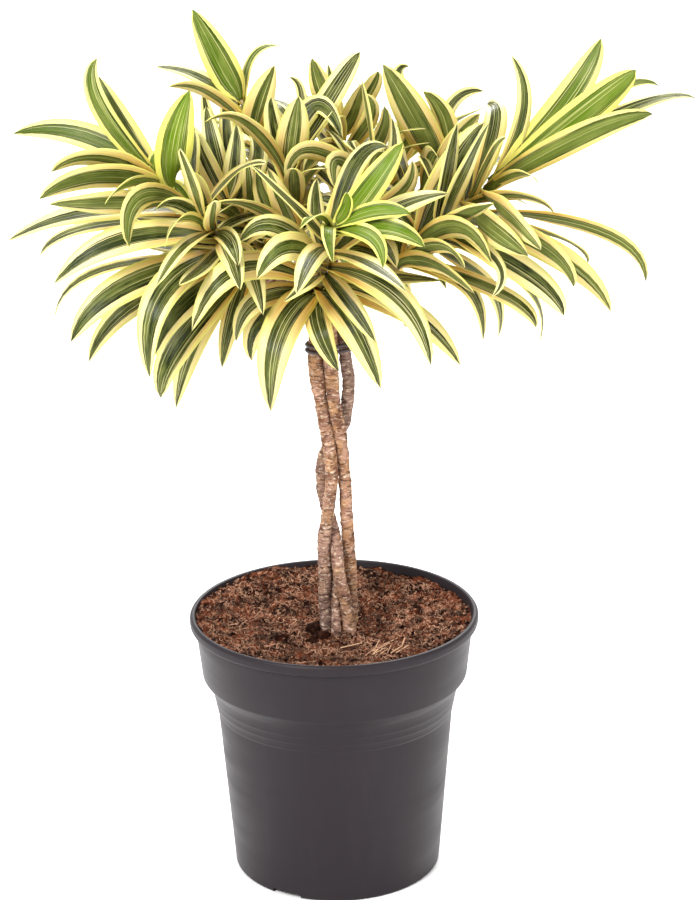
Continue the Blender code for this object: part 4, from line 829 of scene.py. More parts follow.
def smooth_line(points, count):
    """Evenly numbered points on a smooth curve through given ones."""
    ends = [points[0] * 2 - points[1]] + list(points) + [points[-1] * 2 - points[-2]]
    line = []
    for step in range(count + 1):
        place = step * (len(points) - 1) / count
        here = min(int(place), len(points) - 2)
        t = place - here
        before, start, end, after = ends[here:here + 4]
        line.append(start + (end - before) * (t / 2)
                    + (before * 2 - start * 5 + end * 4 - after) * (t ** 2 / 2)
                    + (start * 3 - before - end * 3 + after) * (t ** 3 / 2))
    return line


def line_frames(line):
    """For each point of a line: the point, a sideways and a crosswise direction, and the way so far."""
    side = Vector((0, 1, 0))
    way = 0
    frames = []
    for step, point in enumerate(line):
        heading = (line[min(step + 1, len(line) - 1)] - line[max(step - 1, 0)]).normalized()
        side = square_to(side, heading)
        if step:
            way += (point - line[step - 1]).length
        frames.append((point, side, heading.cross(side), way))
    return frames


def wrap_tube(work, around, line, radius_at, uv=None, mark=None):
    """Wraps a grid round a line, merges its seam and closes its ends.

    The radius is a function of the angle and of the way along, and so is what is marked on a corner.
    The map, where there is one, runs round, and along in centimetres.
    """
    frames = line_frames(line)
    along = len(line) - 1
    grid = bmesh.ops.create_grid(work, x_segments=around, y_segments=along, size=1, calc_uvs=uv is not None)
    tube = grid["verts"]
    if uv is not None:
        for face in {face for vert in tube for face in vert.link_faces}:
            for corner in face.loops:
                corner[uv].uv.y *= frames[-1][3] / (10 * MM)
    for vert in tube:
        angle = math.pi * (vert.co.x + 1)
        point, side, across, way = frames[round((vert.co.y + 1) / 2 * along)]
        vert.co = point + (side * math.cos(angle) + across * math.sin(angle)) * radius_at(angle, way)
        if mark is not None:
            mark(vert, angle, way)
    bmesh.ops.remove_doubles(work, verts=tube, dist=0.001 * MM)
    tube = [vert for vert in tube if vert.is_valid]
    rims = {edge for vert in tube for edge in vert.link_edges if edge.is_boundary}
    bmesh.ops.holes_fill(work, edges=list(rims))
    return tube


def place_piece(name, work, finishes, stands_for=()):
    """Makes an object of a bmesh, gives it its finishes and ties it to the frame."""
    mesh = bpy.data.meshes.new(name)
    work.to_mesh(mesh)
    work.free()
    mesh.shade_smooth()
    for finish in finishes:
        mesh.materials.append(finish)
    piece = bpy.data.objects.new(name, mesh)
    bpy.context.scene.collection.objects.link(piece)
    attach(piece, BODY)
    if stands_for:
        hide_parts(*stands_for)
    return piece


def eased(profile, reach):
    """A profile with its outward corners rounded over a short reach."""
    points = [Vector(profile[0])]
    for before, here, after in zip(profile, profile[1:], profile[2:]):
        before, here, after = Vector(before), Vector(here), Vector(after)
        back, on = before - here, after - here
        hollow = back.x * on.y < back.y * on.x
        if hollow or math.degrees(back.angle(-on)) < SHARPEST_EASED:
            points.append(here)
            continue
        start = here + back.normalized() * min(reach, back.length * 0.4)
        end = here + on.normalized() * min(reach, on.length * 0.4)
        points.append(start)
        points.append(start * 0.25 + here * 0.5 + end * 0.25)
        points.append(end)
    points.append(Vector(profile[-1]))
    return points


def spun(work, profile, steps):
    """A profile of (radius, height) turned once round the upright axis."""
    line = [work.verts.new((radius, 0, height)) for radius, height in profile]
    edges = [work.edges.new(pair) for pair in zip(line, line[1:])]
    bmesh.ops.spin(work, geom=line + edges, cent=(0, 0, 0), axis=(0, 0, 1), angle=math.tau,
                   steps=steps, use_merge=True)
    bmesh.ops.remove_doubles(work, verts=work.verts, dist=0.001 * MM)
    bmesh.ops.recalc_face_normals(work, faces=work.faces)


def pot_profile(ring_depth=0):
    """The pot's closed outline, from the middle of its floor up the inside and down the outside.

    Shallow moulded steps run round the top of the body, under the shoulder.
    """
    inner_top = RIM_RADIUS - 4.6 * MM
    inside = [
        (0, PAD_TOP),
        (PAD_RADIUS - POT_WALL, PAD_TOP),
        (PAD_RADIUS, FLOOR_TOP),
        (FOOT_RADIUS - POT_WALL, FLOOR_TOP),
        (BODY_TOP_RADIUS - POT_WALL, BODY_TOP),
        (SHOULDER_FOOT_RADIUS - POT_WALL, SHOULDER_FOOT + 3 * MM),
        (COLLAR_FOOT_RADIUS - POT_WALL, COLLAR_FOOT + 2 * MM),
        (COLLAR_TOP_RADIUS - POT_WALL, POT_HEIGHT - RIM_BEAD - 2 * MM),
        (inner_top, POT_HEIGHT - 0.8 * MM),
    ]
    bead = [
        (inner_top + 0.8 * MM, POT_HEIGHT),
        (RIM_RADIUS - 1.6 * MM, POT_HEIGHT),
        (RIM_RADIUS, POT_HEIGHT - 2.2 * MM),
        (RIM_RADIUS - 0.2 * MM, POT_HEIGHT - 7.6 * MM),
        (RIM_RADIUS - 1.8 * MM, POT_HEIGHT - RIM_BEAD),
    ]
    outside = [
        (COLLAR_TOP_RADIUS, POT_HEIGHT - RIM_BEAD - 0.6 * MM),
        (COLLAR_FOOT_RADIUS, COLLAR_FOOT),
        (COLLAR_FOOT_RADIUS - 2.2 * MM, COLLAR_FOOT - 3 * MM),
        (SHOULDER_FOOT_RADIUS + 2.2 * MM, SHOULDER_FOOT + 3 * MM),
        (SHOULDER_FOOT_RADIUS, SHOULDER_FOOT),
    ]
    foot = [
        (FOOT_RADIUS + 0.6 * MM, 2 * MM),
        (FOOT_RADIUS - 0.6 * MM, 0),
        (FOOT_RADIUS - FOOT_WIDTH, 0),
        (FOOT_RADIUS - FOOT_WIDTH - 1 * MM, FLOOR_UNDERSIDE),
        (PAD_RADIUS + POT_WALL, FLOOR_UNDERSIDE),
        (PAD_RADIUS, 0),
        (0, 0),
    ]
    rings = []
    slope = (SHOULDER_FOOT_RADIUS - BODY_TOP_RADIUS) / (SHOULDER_FOOT - BODY_TOP)
    for top in POT_RINGS:
        radius = BODY_TOP_RADIUS + (top - BODY_TOP) * slope
        rings.append((radius + ring_depth / 2, top))
        rings.append((radius - ring_depth / 2, top - 1.3 * MM))
    body_top = [(BODY_TOP_RADIUS, BODY_TOP)]
    return inside + bead + outside + rings + body_top + foot


def pot_cutter():
    """The foot's notches and the drain holes, as one mesh of boxes and rods."""
    work = bmesh.new()
    for angle in FOOT_NOTCHES:
        turn = Matrix.Rotation(math.radians(angle), 4, "Z")
        place = turn @ Matrix.Translation((FOOT_RADIUS, 0, 0))
        size = Matrix.Diagonal((4 * FOOT_WIDTH, NOTCH_WIDTH, 2 * NOTCH_HEIGHT, 1))
        bmesh.ops.create_cube(work, size=1, matrix=place @ size)
    for step in range(DRAIN_HOLES):
        turn = Matrix.Rotation(math.tau * (step + 0.5) / DRAIN_HOLES, 4, "Z")
        place = turn @ Matrix.Translation((DRAIN_CIRCLE, 0, FLOOR_TOP))
        bmesh.ops.create_cone(work, cap_ends=True, segments=24, radius1=DRAIN_RADIUS,
                              radius2=DRAIN_RADIUS, depth=4 * FLOOR_TOP, matrix=place)
    mesh = bpy.data.meshes.new("pot_holes")
    work.to_mesh(mesh)
    work.free()
    return mesh


def build_pot(look):
    """The pot is spun from its profile, and its notches and drain holes are cut."""
    work = bmesh.new()
    spun(work, eased(pot_profile(look.ring_depth), EDGE_ROUNDING), POT_STEPS)
    mesh = bpy.data.meshes.new("pot_blank")
    work.to_mesh(mesh)
    work.free()
    blank = bpy.data.objects.new("pot_blank", mesh)
    holes = bpy.data.objects.new("pot_holes", pot_cutter())
    for helper in (blank, holes):
        bpy.context.scene.collection.objects.link(helper)
    cut = blank.modifiers.new("holes", "BOOLEAN")
    cut.operation = "DIFFERENCE"
    cut.object = holes
    bpy.context.view_layer.update()
    shown = blank.evaluated_get(bpy.context.evaluated_depsgraph_get())
    work = bmesh.new()
    work.from_mesh(shown.to_mesh())
    shown.to_mesh_clear()
    for helper in (blank, holes):
        bpy.data.objects.remove(helper)
    pot = place_piece("pot", work, [pot_finish(look)], ["grower_pot"])
    pot.data.set_sharp_from_angle(angle=math.radians(40))


def coir_height(x, y):
    """The coir's surface: lumps about 14 mm across, with pits of 4 mm and grains of 2 mm."""
    spot = Vector((x, y, 0))
    lumps = noise.fractal(spot * 70, 0.8, 2.1, 3) * LUMP_HEIGHT
    grains = abs(noise.noise(spot * 240)) * PIT_DEPTH + noise.noise(spot * 520) * GRAIN_HEIGHT
    return soil_height(x, y) + lumps - grains


def build_coir(look):
    """The coir's top is a spun disc pushed into lumps. Its sides and foot follow the pot's inside."""
    top_radius = pot_inner_radius(SOIL_EDGE) - SEAT_GAP
    bottom = FLOOR_TOP + SEAT_GAP
    profile = [(top_radius * ring / COIR_RINGS, SOIL_EDGE) for ring in range(COIR_RINGS + 1)]
    for height in (COLLAR_FOOT + 2 * MM, SHOULDER_FOOT + 3 * MM, BODY_TOP):
        profile.append((pot_inner_radius(height) - COIR_CLEARANCE, height))
    profile += [(pot_inner_radius(FLOOR_TOP) - COIR_CLEARANCE, bottom),
                (PAD_RADIUS - COIR_CLEARANCE, bottom),
                (PAD_RADIUS - POT_WALL - COIR_CLEARANCE, PAD_TOP + SEAT_GAP),
                (0, PAD_TOP + SEAT_GAP)]
    work = bmesh.new()
    spun(work, profile, COIR_STEPS)
    for vert in work.verts:
        if vert.co.z > SOIL_EDGE - 0.1 * MM:
            vert.co.z = coir_height(vert.co.x, vert.co.y)
    place_piece("coir_fill", work, [coir_finish("coir and peat", look)], ["soil"])


def soil_spot(across, down):
    """The place on the coir that the front view shows at a pixel."""
    ray = pixel_ray(across, down)
    spot = EYE + ray * ((SOIL_EDGE - 3 * MM - EYE.z) / ray.z)
    return spot.x, spot.y


def copies_of(work, count):
    """Doubles what a bmesh holds until there are enough copies, and gives each one's corners."""
    copies = [work.verts[:]]
    while len(copies) < count:
        everything = work.verts[:] + work.edges[:] + work.faces[:]
        twin = bmesh.ops.duplicate(work, geom=everything)["vert_map"]
        copies += [[twin[vert] for vert in copy] for copy in copies]
    for copy in copies[count:]:
        for vert in copy:
            work.verts.remove(vert)
    return copies[:count]


def loose_spot(draw, edge):
    """A place on the coir between the canes and the wall."""
    reach = edge * math.sqrt(draw.uniform(0.02, 1))
    angle = draw.uniform(0, math.tau)
    return reach * math.cos(angle), reach * math.sin(angle)


def patch_tone(x, y):
    """How dry and pale the coir is at a place: patches about 25 mm across differ."""
    return max(0.15, min(1, 0.62 + 1.5 * noise.noise(Vector((x, y, 0)) * 42)))


def shape_crumb(lump, layer, draw, x, y, size, tone):
    """Makes a ball of one unit a small rough lump, half sunk in the surface."""
    squash = Matrix.Diagonal((1, draw.uniform(0.5, 0.95), draw.uniform(0.4, 0.8), 1))
    turn = Matrix.Rotation(draw.uniform(0, math.tau), 4, "Z")
    turn = turn @ Matrix.Rotation(draw.uniform(-0.7, 0.7), 4, "X")
    place = Matrix.Translation((x, y, coir_height(x, y) + size * draw.uniform(0.05, 0.4)))
    for vert in lump:
        vert.co = place @ turn @ squash @ (vert.co * size)
        vert.co += noise.noise_vector(vert.co * 400) * size * 0.45
        vert[layer] = tone


def build_crumbs(look):
    """Loose crumbs of coir and bark over the surface, and the larger lumps at the canes' foot."""
    draw = random.Random("coir crumbs")
    noise.seed_set(CRUMB_SEED)
    edge = pot_inner_radius(SOIL_EDGE) - 3 * MM
    spots = []
    for crumb in range(look.crumbs):
        size = look.crumb_size * (0.3 + 1.2 * draw.random() ** 3)
        x, y = loose_spot(draw, edge)
        spots.append((x, y, size, draw.random() * patch_tone(x, y)))
    for across, down, size, tone in COIR_LUMPS:
        spots.append((*soil_spot(across, down), size * MM, tone))
    work = bmesh.new()
    layer = work.verts.layers.float.new("tone")
    bmesh.ops.create_icosphere(work, subdivisions=1, radius=1)
    for lump, spot in zip(copies_of(work, len(spots)), spots):
        shape_crumb(lump, layer, draw, *spot)
    bmesh.ops.recalc_face_normals(work, faces=work.faces)
    place_piece("coir_crumbs", work, [coir_finish("coir crumbs", look)])


def shape_fibre(strand, layer, draw, x, y, length, thick, tone):
    """Bends a straight strand of one unit along the coir, with its ends and middle lifted unevenly."""
    angle = draw.uniform(0, math.tau)
    bow = draw.uniform(-1.2, 1.2)
    lifts = [draw.uniform(0.2, 1.4) * MM for station in range(5)]
    for vert in strand:
        along, aside, above = vert.co
        turn = angle + bow * (along + 0.5)
        px, py = x + along * length * math.cos(turn), y + along * length * math.sin(turn)
        height = coir_height(px, py) + lifts[round(4 * (along + 0.5))] + above * thick
        vert.co = (px - aside * thick * math.sin(turn), py + aside * thick * math.cos(turn), height)
        vert[layer] = tone


def shape_straw(strand, layer, draw, x, y, length, thick, tone):
    """Lays a strand of one unit straight over the coir's lumps."""
    angle = draw.uniform(0.7, 1.5)
    reach = Vector((math.cos(angle), math.sin(angle), 0)) * length
    aslant = reach.cross(UP).normalized()
    start, end = (Vector((x, y, 0)) + reach * share for share in (-0.5, 0.5))
    start.z, end.z = (coir_height(spot.x, spot.y) + draw.uniform(0.8, 2.6) * MM for spot in (start, end))
    for vert in strand:
        along, aside, above = vert.co
        vert.co = start.lerp(end, along + 0.5) + aslant * (aside * thick) + UP * (above * thick)
        vert[layer] = tone


def build_fibres(look):
    """Short coconut fibres that lie on the coir, with longer straw-like ones in one place in front."""
    draw = random.Random("coir fibres")
    edge = pot_inner_radius(SOIL_EDGE) - 9 * MM
    straw_x, straw_y = soil_spot(*STRAW)
    work = bmesh.new()
    layer = work.verts.layers.float.new("tone")
    wrap_tube(work, 4, [Vector((step / 4 - 0.5, 0, 0)) for step in range(5)], lambda turned, way: 1)
    for number, strand in enumerate(copies_of(work, look.fibres)):
        if number < STRAWS:
            x, y = straw_x + draw.gauss(0, 13) * MM, straw_y + draw.gauss(0, 9) * MM
            length = draw.uniform(12, 26) * MM
            thick = draw.uniform(0.3, 0.55) * MM
            shape_straw(strand, layer, draw, x, y, length, thick, draw.uniform(0.88, 1))
            continue
        x, y = loose_spot(draw, edge)
        length = (2 + 8 * draw.random() ** 2.5) * MM
        tone = 0.92 * draw.random() * patch_tone(x, y)
        shape_fibre(strand, layer, draw, x, y, length, draw.uniform(0.16, 0.45) * MM, tone)
    bmesh.ops.recalc_face_normals(work, faces=work.faces)
    place_piece("coir_fibres", work, [fibre_finish(look)])


class BarkRelief:
    """A cane's radius with its ring scars, the swellings above them and its uneven growth."""

    def __init__(self, name, radius, length, spacing, depth):
        draw = random.Random(name + " bark")
        self.radius = radius
        self.depth = depth
        self.stout = STOUT.get(name, 0)
        self.shift = Vector((draw.uniform(0, 90), draw.uniform(0, 90), draw.uniform(0, 90)))
        self.scars = []
        way = draw.uniform(0, spacing)
        while way < length:
            tilt = draw.uniform(-1.4, 1.4) * MM
            turn = draw.uniform(0, math.tau)
            self.scars.append((way, tilt, turn, draw.uniform(0.15, 1.1)))
            way += spacing * draw.uniform(0.4, 1.7)

    def scar(self, angle, way):
        """How deep in a ring scar a spot lies, and how far on the swelling above it."""
        groove, swell = 0, 0
        for place, tilt, turn, strength in self.scars:
            beside = way - place - tilt * math.sin(angle + turn)
            if abs(beside) < SWELL_WIDTH * 4:
                strength *= 0.6 + 0.4 * math.sin(2 * angle + 3 * turn)
                groove += strength * math.exp(-(beside / GROOVE_WIDTH) ** 2)
                swell += strength * math.exp(-((beside - SWELL_PLACE) / SWELL_WIDTH) ** 2)
        return min(groove, 1), min(swell, 1)

    def radius_at(self, angle, way):
        groove, swell = self.scar(angle, way)
        stout = self.stout * max(0, 1 - ((way - STOUT_MIDDLE * MM) / (STOUT_REACH * MM)) ** 2)
        spot = Vector((math.cos(angle) * 1.3, math.sin(angle) * 1.3, way / BARK_WAVES)) + self.shift
        uneven = noise.noise(spot) * 0.12 + noise.noise(spot * 2.7) * 0.1 + noise.noise(spot * 6.1) * 0.09
        return self.radius * (1 + uneven + stout) + self.depth * (0.7 * swell - groove)


def bark_age(name, height):
    """How grey a cane's bark is at a height. A branch is as its cane is at the top."""
    cane = SHOOTS[name].cane if name in SHOOTS else name
    top, middle, foot = BARK_AGE[cane]
    down = max(0, min(1, (CANE_TOP * MM - height) / (SPAN_OF_BARK * MM)))
    if down < 0.5:
        return top + (middle - top) * 2 * down
    return middle + (foot - middle) * (2 * down - 1)


def add_bark(work, layers, name, look, line, radius, around):
    """A cane or a branch, marked with its scars and with how old and grey it is."""
    scar, age = layers
    length = sum((one - other).length for one, other in zip(line, line[1:]))
    depth = look.scar_depth * radius / THICK_CANE
    relief = BarkRelief(name, radius, length, look.scar_spacing, depth)

    def mark(vert, angle, way):
        # The scar's groove depth is also what the bark's painted shade follows.
        vert[scar] = relief.scar(angle, way)[0]
        vert[age] = bark_age(name, vert.co.z)

    wrap_tube(work, around, line, relief.radius_at, mark=mark)


def build_canes(look, canes, arcs):
    """Each cane with its ring scars, from the coir up to the branches that it forks into."""
    bark = bark_finish(look)
    for name, (radius, line) in canes.items():
        work = bmesh.new()
        layers = [work.verts.layers.float.new(layer) for layer in ("scar", "age")]
        add_bark(work, layers, name, look, smooth_line(line, CANE_ALONG), radius, CANE_AROUND)
        for shoot_name, shoot in SHOOTS.items():
            if shoot.cane == name:
                branch = smooth_line(branch_line(line, arcs[shoot_name]), BRANCH_ALONG)
                add_bark(work, layers, shoot_name, look, branch, BRANCH_RADIUS, BRANCH_AROUND)
        bmesh.ops.recalc_face_normals(work, faces=work.faces)
        place_piece("bark_" + name, work, [bark], [name])


def build_tie(look, canes):
    """Two turns of soft dark cord, laid on the canes."""
    work = bmesh.new()
    uv = work.loops.layers.uv.new("cord")
    line = smooth_line(tie_line(canes), TIE_TURNS * 48)
    wrap_tube(work, 10, line, lambda angle, way: TIE_CORD, uv)
    bmesh.ops.recalc_face_normals(work, faces=work.faces)
    place_piece("tie", work, [cord_finish(look)], ["cane_tie"])


def blade_width(t):
    """A leaf's width along its length as a share of its widest: its foot is broad and clasps."""
    return max(width_share(t) / WIDEST, LEAF_FOOT * (1 - t / 0.3) if t < 0.3 else 0)


def add_leaf(work, layers, blade, stem, look, draw):
    """One blade: a grid laid on its arc, rolled round the stem at its foot and nearly flat beyond."""
    fresh, tone, age = layers
    grid = bmesh.ops.create_grid(work, x_segments=LEAF_ACROSS, y_segments=LEAF_ALONG, size=1, calc_uvs=True)
    root, along = growing_frame(stem, blade.share)
    outward = square_to(arc_point(blade.arc, 0.5) - root, along)
    phase = draw.uniform(0, math.tau)
    twist = draw.uniform(-LEAF_TWIST, LEAF_TWIST)
    kind = draw.random()
    rows = {}
    for vert in grid["verts"]:
        t = (vert.co.y + 1) / 2
        if t not in rows:
            centre, side, normal = blade_section(blade, t)
            turn = Matrix.Rotation(twist * t, 3, arc_heading(blade.arc, t))
            # The foot is rolled shut round the stem, and the gutter beyond it opens towards the tip.
            foot = max(0, 1 - t / 0.14) ** 2
            roll = 0.42 + 2.5 * foot + 0.5 * max(0, 1 - t / 0.4) - 0.2 * t
            rows[t] = (centre + outward * (STEM_GIRTH * foot), turn @ side, turn @ normal,
                       blade.width / 2 * blade_width(t), roll)
        centre, side, normal, half, roll = rows[t]
        bend = vert.co.x * roll / 2
        reach = half / (roll / 2)
        wave = look.ripple * math.sin(phase + 9 * t + 1.3 * vert.co.x) * abs(vert.co.x)
        wave *= min(1, 4 * t * (1 - t))
        vert.co = centre - side * (reach * math.sin(bend)) + normal * (reach * (1 - math.cos(bend)) + wave)
        vert[fresh] = blade.fresh
        vert[tone] = kind
        vert[age] = 1 - blade.share


def build_shoots(look, canes, arcs):
    """Each leafy shoot: its clasping leaves, and the stem that they grow from."""
    finishes = [leaf_finish("leaf, waxy upper face", look, look.green_deep, look.margin_cream, 0.25, 0.24),
                leaf_finish("leaf, dull underside", look, look.green_under, look.margin_under, 0.55, 0.12),
                stem_finish(look)]
    blades = lay_out_leaves(arcs, trunk_solids(canes, arcs))
    for name, arc in arcs.items():
        work = bmesh.new()
        work.loops.layers.uv.new("leaf")
        layers = [work.verts.layers.float.new(layer) for layer in ("fresh", "tone", "age")]
        draw = random.Random(name + " blades")
        for blade in blades[name]:
            add_leaf(work, layers, blade, arc, look, draw)
        bmesh.ops.remove_doubles(work, verts=work.verts, dist=0.001 * MM)
        shoot = place_piece("shoot_" + name[-2:], work, finishes, [name])
        skin = shoot.modifiers.new("skin", "SOLIDIFY")
        skin.thickness = look.thickness
        skin.offset = 0
        skin.material_offset = 1
        build_stem(name, arc, finishes[2])


def build_stem(name, arc, finish):
    """A shoot's green stem, which tapers to its growing point."""
    work = bmesh.new()
    uv = work.loops.layers.uv.new("stem")
    line = [arc_point(arc, step / 10) for step in range(11)]
    length = (line[-1] - line[0]).length
    wrap_tube(work, 10, line, lambda angle, way: SHOOT_FOOT_RADIUS * (1 - 0.75 * way / length), uv)
    bmesh.ops.recalc_face_normals(work, faces=work.faces)
    place_piece("stem_" + name[-2:], work, [finish], [name])


def linear(code):
    """An sRGB hex colour as linear red, green and blue."""
    shares = [int(code[place:place + 2], 16) / 255 for place in (1, 3, 5)]
    return tuple(share / 12.92 if share <= 0.04045 else ((share + 0.055) / 1.055) ** 2.4 for share in shares)


def add_node(tree, kind, inputs=(), **options):
    """Adds one node, sets its options and sockets, and links what it reads.

    The inputs are named, or listed in the order in which the node shows them: a MapRange takes its
    value, the range it comes from and the range it goes to, and a Mix its share and two colours. A
    node that is given as an input is read at the first output that it shows.
    """
    node = tree.nodes.new("ShaderNode" + kind)
    for option, value in options.items():
        setattr(node, option, value)
    if isinstance(inputs, dict):
        sockets = [node.inputs[name] for name in inputs]
        inputs = inputs.values()
    else:
        sockets = [socket for socket in node.inputs if socket.enabled]
    for socket, value in zip(sockets, inputs):
        if isinstance(value, bpy.types.Node):
            value = next(output for output in value.outputs if output.enabled)
        if isinstance(value, bpy.types.NodeSocket):
            tree.links.new(value, socket)
        elif socket.type == "RGBA":
            socket.default_value = (*value, 1)
        else:
            socket.default_value = value
    return node


def new_finish(name):
    """A new material, and what adds a node to it."""
    material = bpy.data.materials.new(name)
    material.use_nodes = True
    material.node_tree.nodes.clear()
    return material, partial(add_node, material.node_tree)


# Noise along a blade: how often it changes across and along it, and its detail. The streaks are 1.2
# mm wide on a leaf of 20 mm, the veins 0.3 mm, the strokes 0.7 mm and the patches of painted sheen 7 mm.
LEAF_NOISE = {"streak": ((16, 1.4, 1), 2), "vein": ((62, 1.1, 1), 1), "stroke": ((30, 0.8, 1), 0),
              "sheen_patches": ((3, 5, 1), 3)}
RIM_SHADE = (0.3, 0.34, 0.2)


def leaf_finish(name, look, green, margin, roughness, gloss):
    """Dracaena leaf: a waxy blade with a green middle, cream margins and fine lengthwise veins.

    The wax gives a soft sheen along the midrib, broad pale patches of painted sheen lie on the green, and
    the margins turn golden towards the stem.
    """
    material, add = new_finish(name)
    spot = add("UVMap", uv_map="leaf")
    parts = add("SeparateXYZ", [spot])
    kind = add("Attribute", attribute_name="tone").outputs["Fac"]
    fresh = add("Attribute", attribute_name="fresh").outputs["Fac"]
    age = add("Attribute", attribute_name="age").outputs["Fac"]
    seed = add("Math", [kind, 60], operation="MULTIPLY")
    inward = add("Math", [parts, 0.5], operation="PINGPONG")
    noises = {}
    for pattern, (stretch, detail) in LEAF_NOISE.items():
        place = add("Mapping", {"Vector": spot, "Scale": stretch})
        noises[pattern] = add("TexNoise", {"Vector": place, "W": seed, "Scale": 1, "Detail": detail},
                              noise_dimensions="4D")
    streak, vein, stroke, sheen_patches = noises.values()
    # The green middle starts where the wandering distance from the edge passes the margin's width.
    wander = add("MapRange", [streak, 0.2, 0.8, -0.075, 0.075])
    edge = add("Math", [inward, wander], operation="ADD")
    border = add("MapRange", [kind, 0, 1, look.margin_share * 0.7, look.margin_share * 1.3])
    narrow = add("MapRange", [fresh, 0, 1, 1, 0.6])
    breadth = add("Math", [border, narrow], operation="MULTIPLY")
    beyond = add("Math", [edge, breadth], operation="SUBTRACT")
    middle = add("MapRange", [beyond, -0.012, 0.012], interpolation_type="SMOOTHSTEP")
    # Green: fresh leaves are bright. It is darkest beside the margin, pale hairlines break it up, and broad
    # pale patches on it are painted sheen.
    greens = add("Mix", [fresh, green, look.green_fresh], data_type="RGBA")
    rim = add("MapRange", [beyond, 0, 0.2, 0.95, 0], interpolation_type="SMOOTHSTEP")
    rimmed = add("Mix", [rim, greens, RIM_SHADE], data_type="RGBA", blend_type="MULTIPLY")
    # Painted sheen: broad pale patches in the green stand in for the wax's grey reflection of the room.
    painted_sheen = add("MapRange", [sheen_patches, 0.46, 0.74, 0, 0.45])
    with_sheen = add("Mix", [painted_sheen, rimmed, look.pale_green_and_sheen], data_type="RGBA")
    hairs = add("MapRange", [vein, 0.5, 0.62, 0, 0.5])
    lined = add("Mix", [hairs, with_sheen, look.pale_green_and_sheen], data_type="RGBA")
    strokes = add("MapRange", [stroke, 0.62, 0.7, 0, 0.42])
    ribbed = add("Mix", [strokes, lined, look.margin_cream], data_type="RGBA")
    # Margins: cream, golden at the foot and on old leaves, lemon on fresh ones and along each edge.
    foot = add("MapRange", [parts.outputs["Y"], 0.05, 0.62, 1.5, 0])
    golden = add("Math", [foot, streak], operation="MULTIPLY")
    warmth = add("MapRange", [age, 0.2, 1, 0, 0.25])
    gilt = add("Math", [golden, warmth], operation="ADD", use_clamp=True)
    cream = add("Mix", [gilt, margin, look.margin_gold], data_type="RGBA")
    brink = add("MapRange", [edge, 0, 0.12, 0.65, 0])
    young = add("Math", [fresh, brink], operation="MAXIMUM")
    lemon = add("Mix", [young, cream, look.margin_fresh], data_type="RGBA")
    tinge = add("MapRange", [vein, 0.58, 0.72, 0, 0.45])
    margins = add("Mix", [tinge, lemon, greens], data_type="RGBA")
    colour = add("Mix", [middle, margins, ribbed], data_type="RGBA")
    groove = add("MapRange", [inward, 0.44, 0.5, 0.5, 0], interpolation_type="SMOOTHSTEP")
    relief = add("Math", [vein, groove], operation="ADD")
    bump = add("Bump", {"Height": relief, "Strength": 0.8, "Distance": 0.4 * MM})
    shader = add("BsdfPrincipled", {
        "Base Color": colour, "Normal": bump, "Roughness": roughness, "IOR": 1.45,
        "Specular IOR Level": gloss, "Subsurface Weight": look.glow,
        "Subsurface Radius": (1, 0.8, 0.2), "Subsurface Scale": 1.2 * MM})
    add("OutputMaterial", [shader])
    return material


def stem_finish(look):
    """Young dracaena stem: green turning to tan bark, with the leaf bases' rings."""
    material, add = new_finish("dracaena stem, green bark")
    place = add("Mapping", {"Vector": add("UVMap", uv_map="stem"), "Scale": (0.4, 2.2, 1)})
    rings = add("TexNoise", {"Vector": place, "Scale": 1, "Detail": 3})
    share = add("MapRange", [rings, 0.35, 0.65])
    colour = add("Mix", [share, look.stem_green, look.stem_tan], data_type="RGBA")
    bump = add("Bump", {"Height": rings, "Strength": 0.5, "Distance": 0.4 * MM})
    shader = add("BsdfPrincipled", {"Base Color": colour, "Normal": bump, "Roughness": 0.6})
    add("OutputMaterial", [shader])
    return material


def bark_finish(look):
    """Dracaena bark: dull flaky cork, mottled in tan, pink and brown.

    Its ring scars are dark, partly of their own colour and partly with painted shade in their grooves, its
    wrinkles carry painted shade, its flakes catch light, and old parts are grey.
    """
    material, add = new_finish("dracaena bark, corky")
    place = add("TexCoord").outputs["Object"]
    scar = add("Attribute", attribute_name="scar").outputs["Fac"]
    age = add("Attribute", attribute_name="age").outputs["Fac"]
    # Patches 11 mm and blushes 18 mm across, wrinkles 2 mm apart that run round the cane, and
    # flakes of 2 to 4 mm.
    patch = add("TexNoise", {"Vector": place, "Scale": 90, "Detail": 3})
    blush = add("TexNoise", {"Vector": place, "Scale": 55, "Detail": 2})
    wrinkled = add("Mapping", {"Vector": place, "Scale": (170, 170, 520)})
    wrinkle = add("TexNoise", {"Vector": wrinkled, "Scale": 1, "Detail": 3, "Distortion": 0.8})
    flaked = add("Mapping", {"Vector": place, "Scale": (240, 240, 460)})
    flake = add("TexNoise", {"Vector": flaked, "Scale": 1, "Detail": 4, "Distortion": 0.5})
    tones = add("MapRange", [patch, 0.4, 0.6])
    base = add("Mix", [tones, look.bark_tan, look.bark_brown], data_type="RGBA")
    pinks = add("MapRange", [blush, 0.48, 0.62, 0, 0.7])
    blushed = add("Mix", [pinks, base, look.bark_pink], data_type="RGBA")
    weathered = add("Mix", [age, blushed, look.bark_grey], data_type="RGBA")
    # Painted shade: cracks and ring scars are darkened in colour where their grooves hold shadow; the scars
    # are also a little darker of their own.
    cracks = add("MapRange", [wrinkle, 0.5, 0.66, 0, 1])
    dark = add("Math", [cracks, scar], operation="MAXIMUM")
    groove_shade = add("Math", [dark, 0.85], operation="MULTIPLY")
    shaded = add("Mix", [groove_shade, weathered, look.bark_scar_shade], data_type="RGBA")
    flecks = add("MapRange", [flake, 0.54, 0.72, 0, 0.9])
    colour = add("Mix", [flecks, shaded, look.bark_pale], data_type="RGBA")
    rough = add("Math", [flake, wrinkle], operation="SUBTRACT")
    bump = add("Bump", {"Height": rough, "Strength": 1, "Distance": 1.6 * MM})
    shader = add("BsdfPrincipled", {"Base Color": colour, "Normal": bump, "Roughness": 0.85,
                                    "Specular IOR Level": 0.2})
    add("OutputMaterial", [shader])
    return material


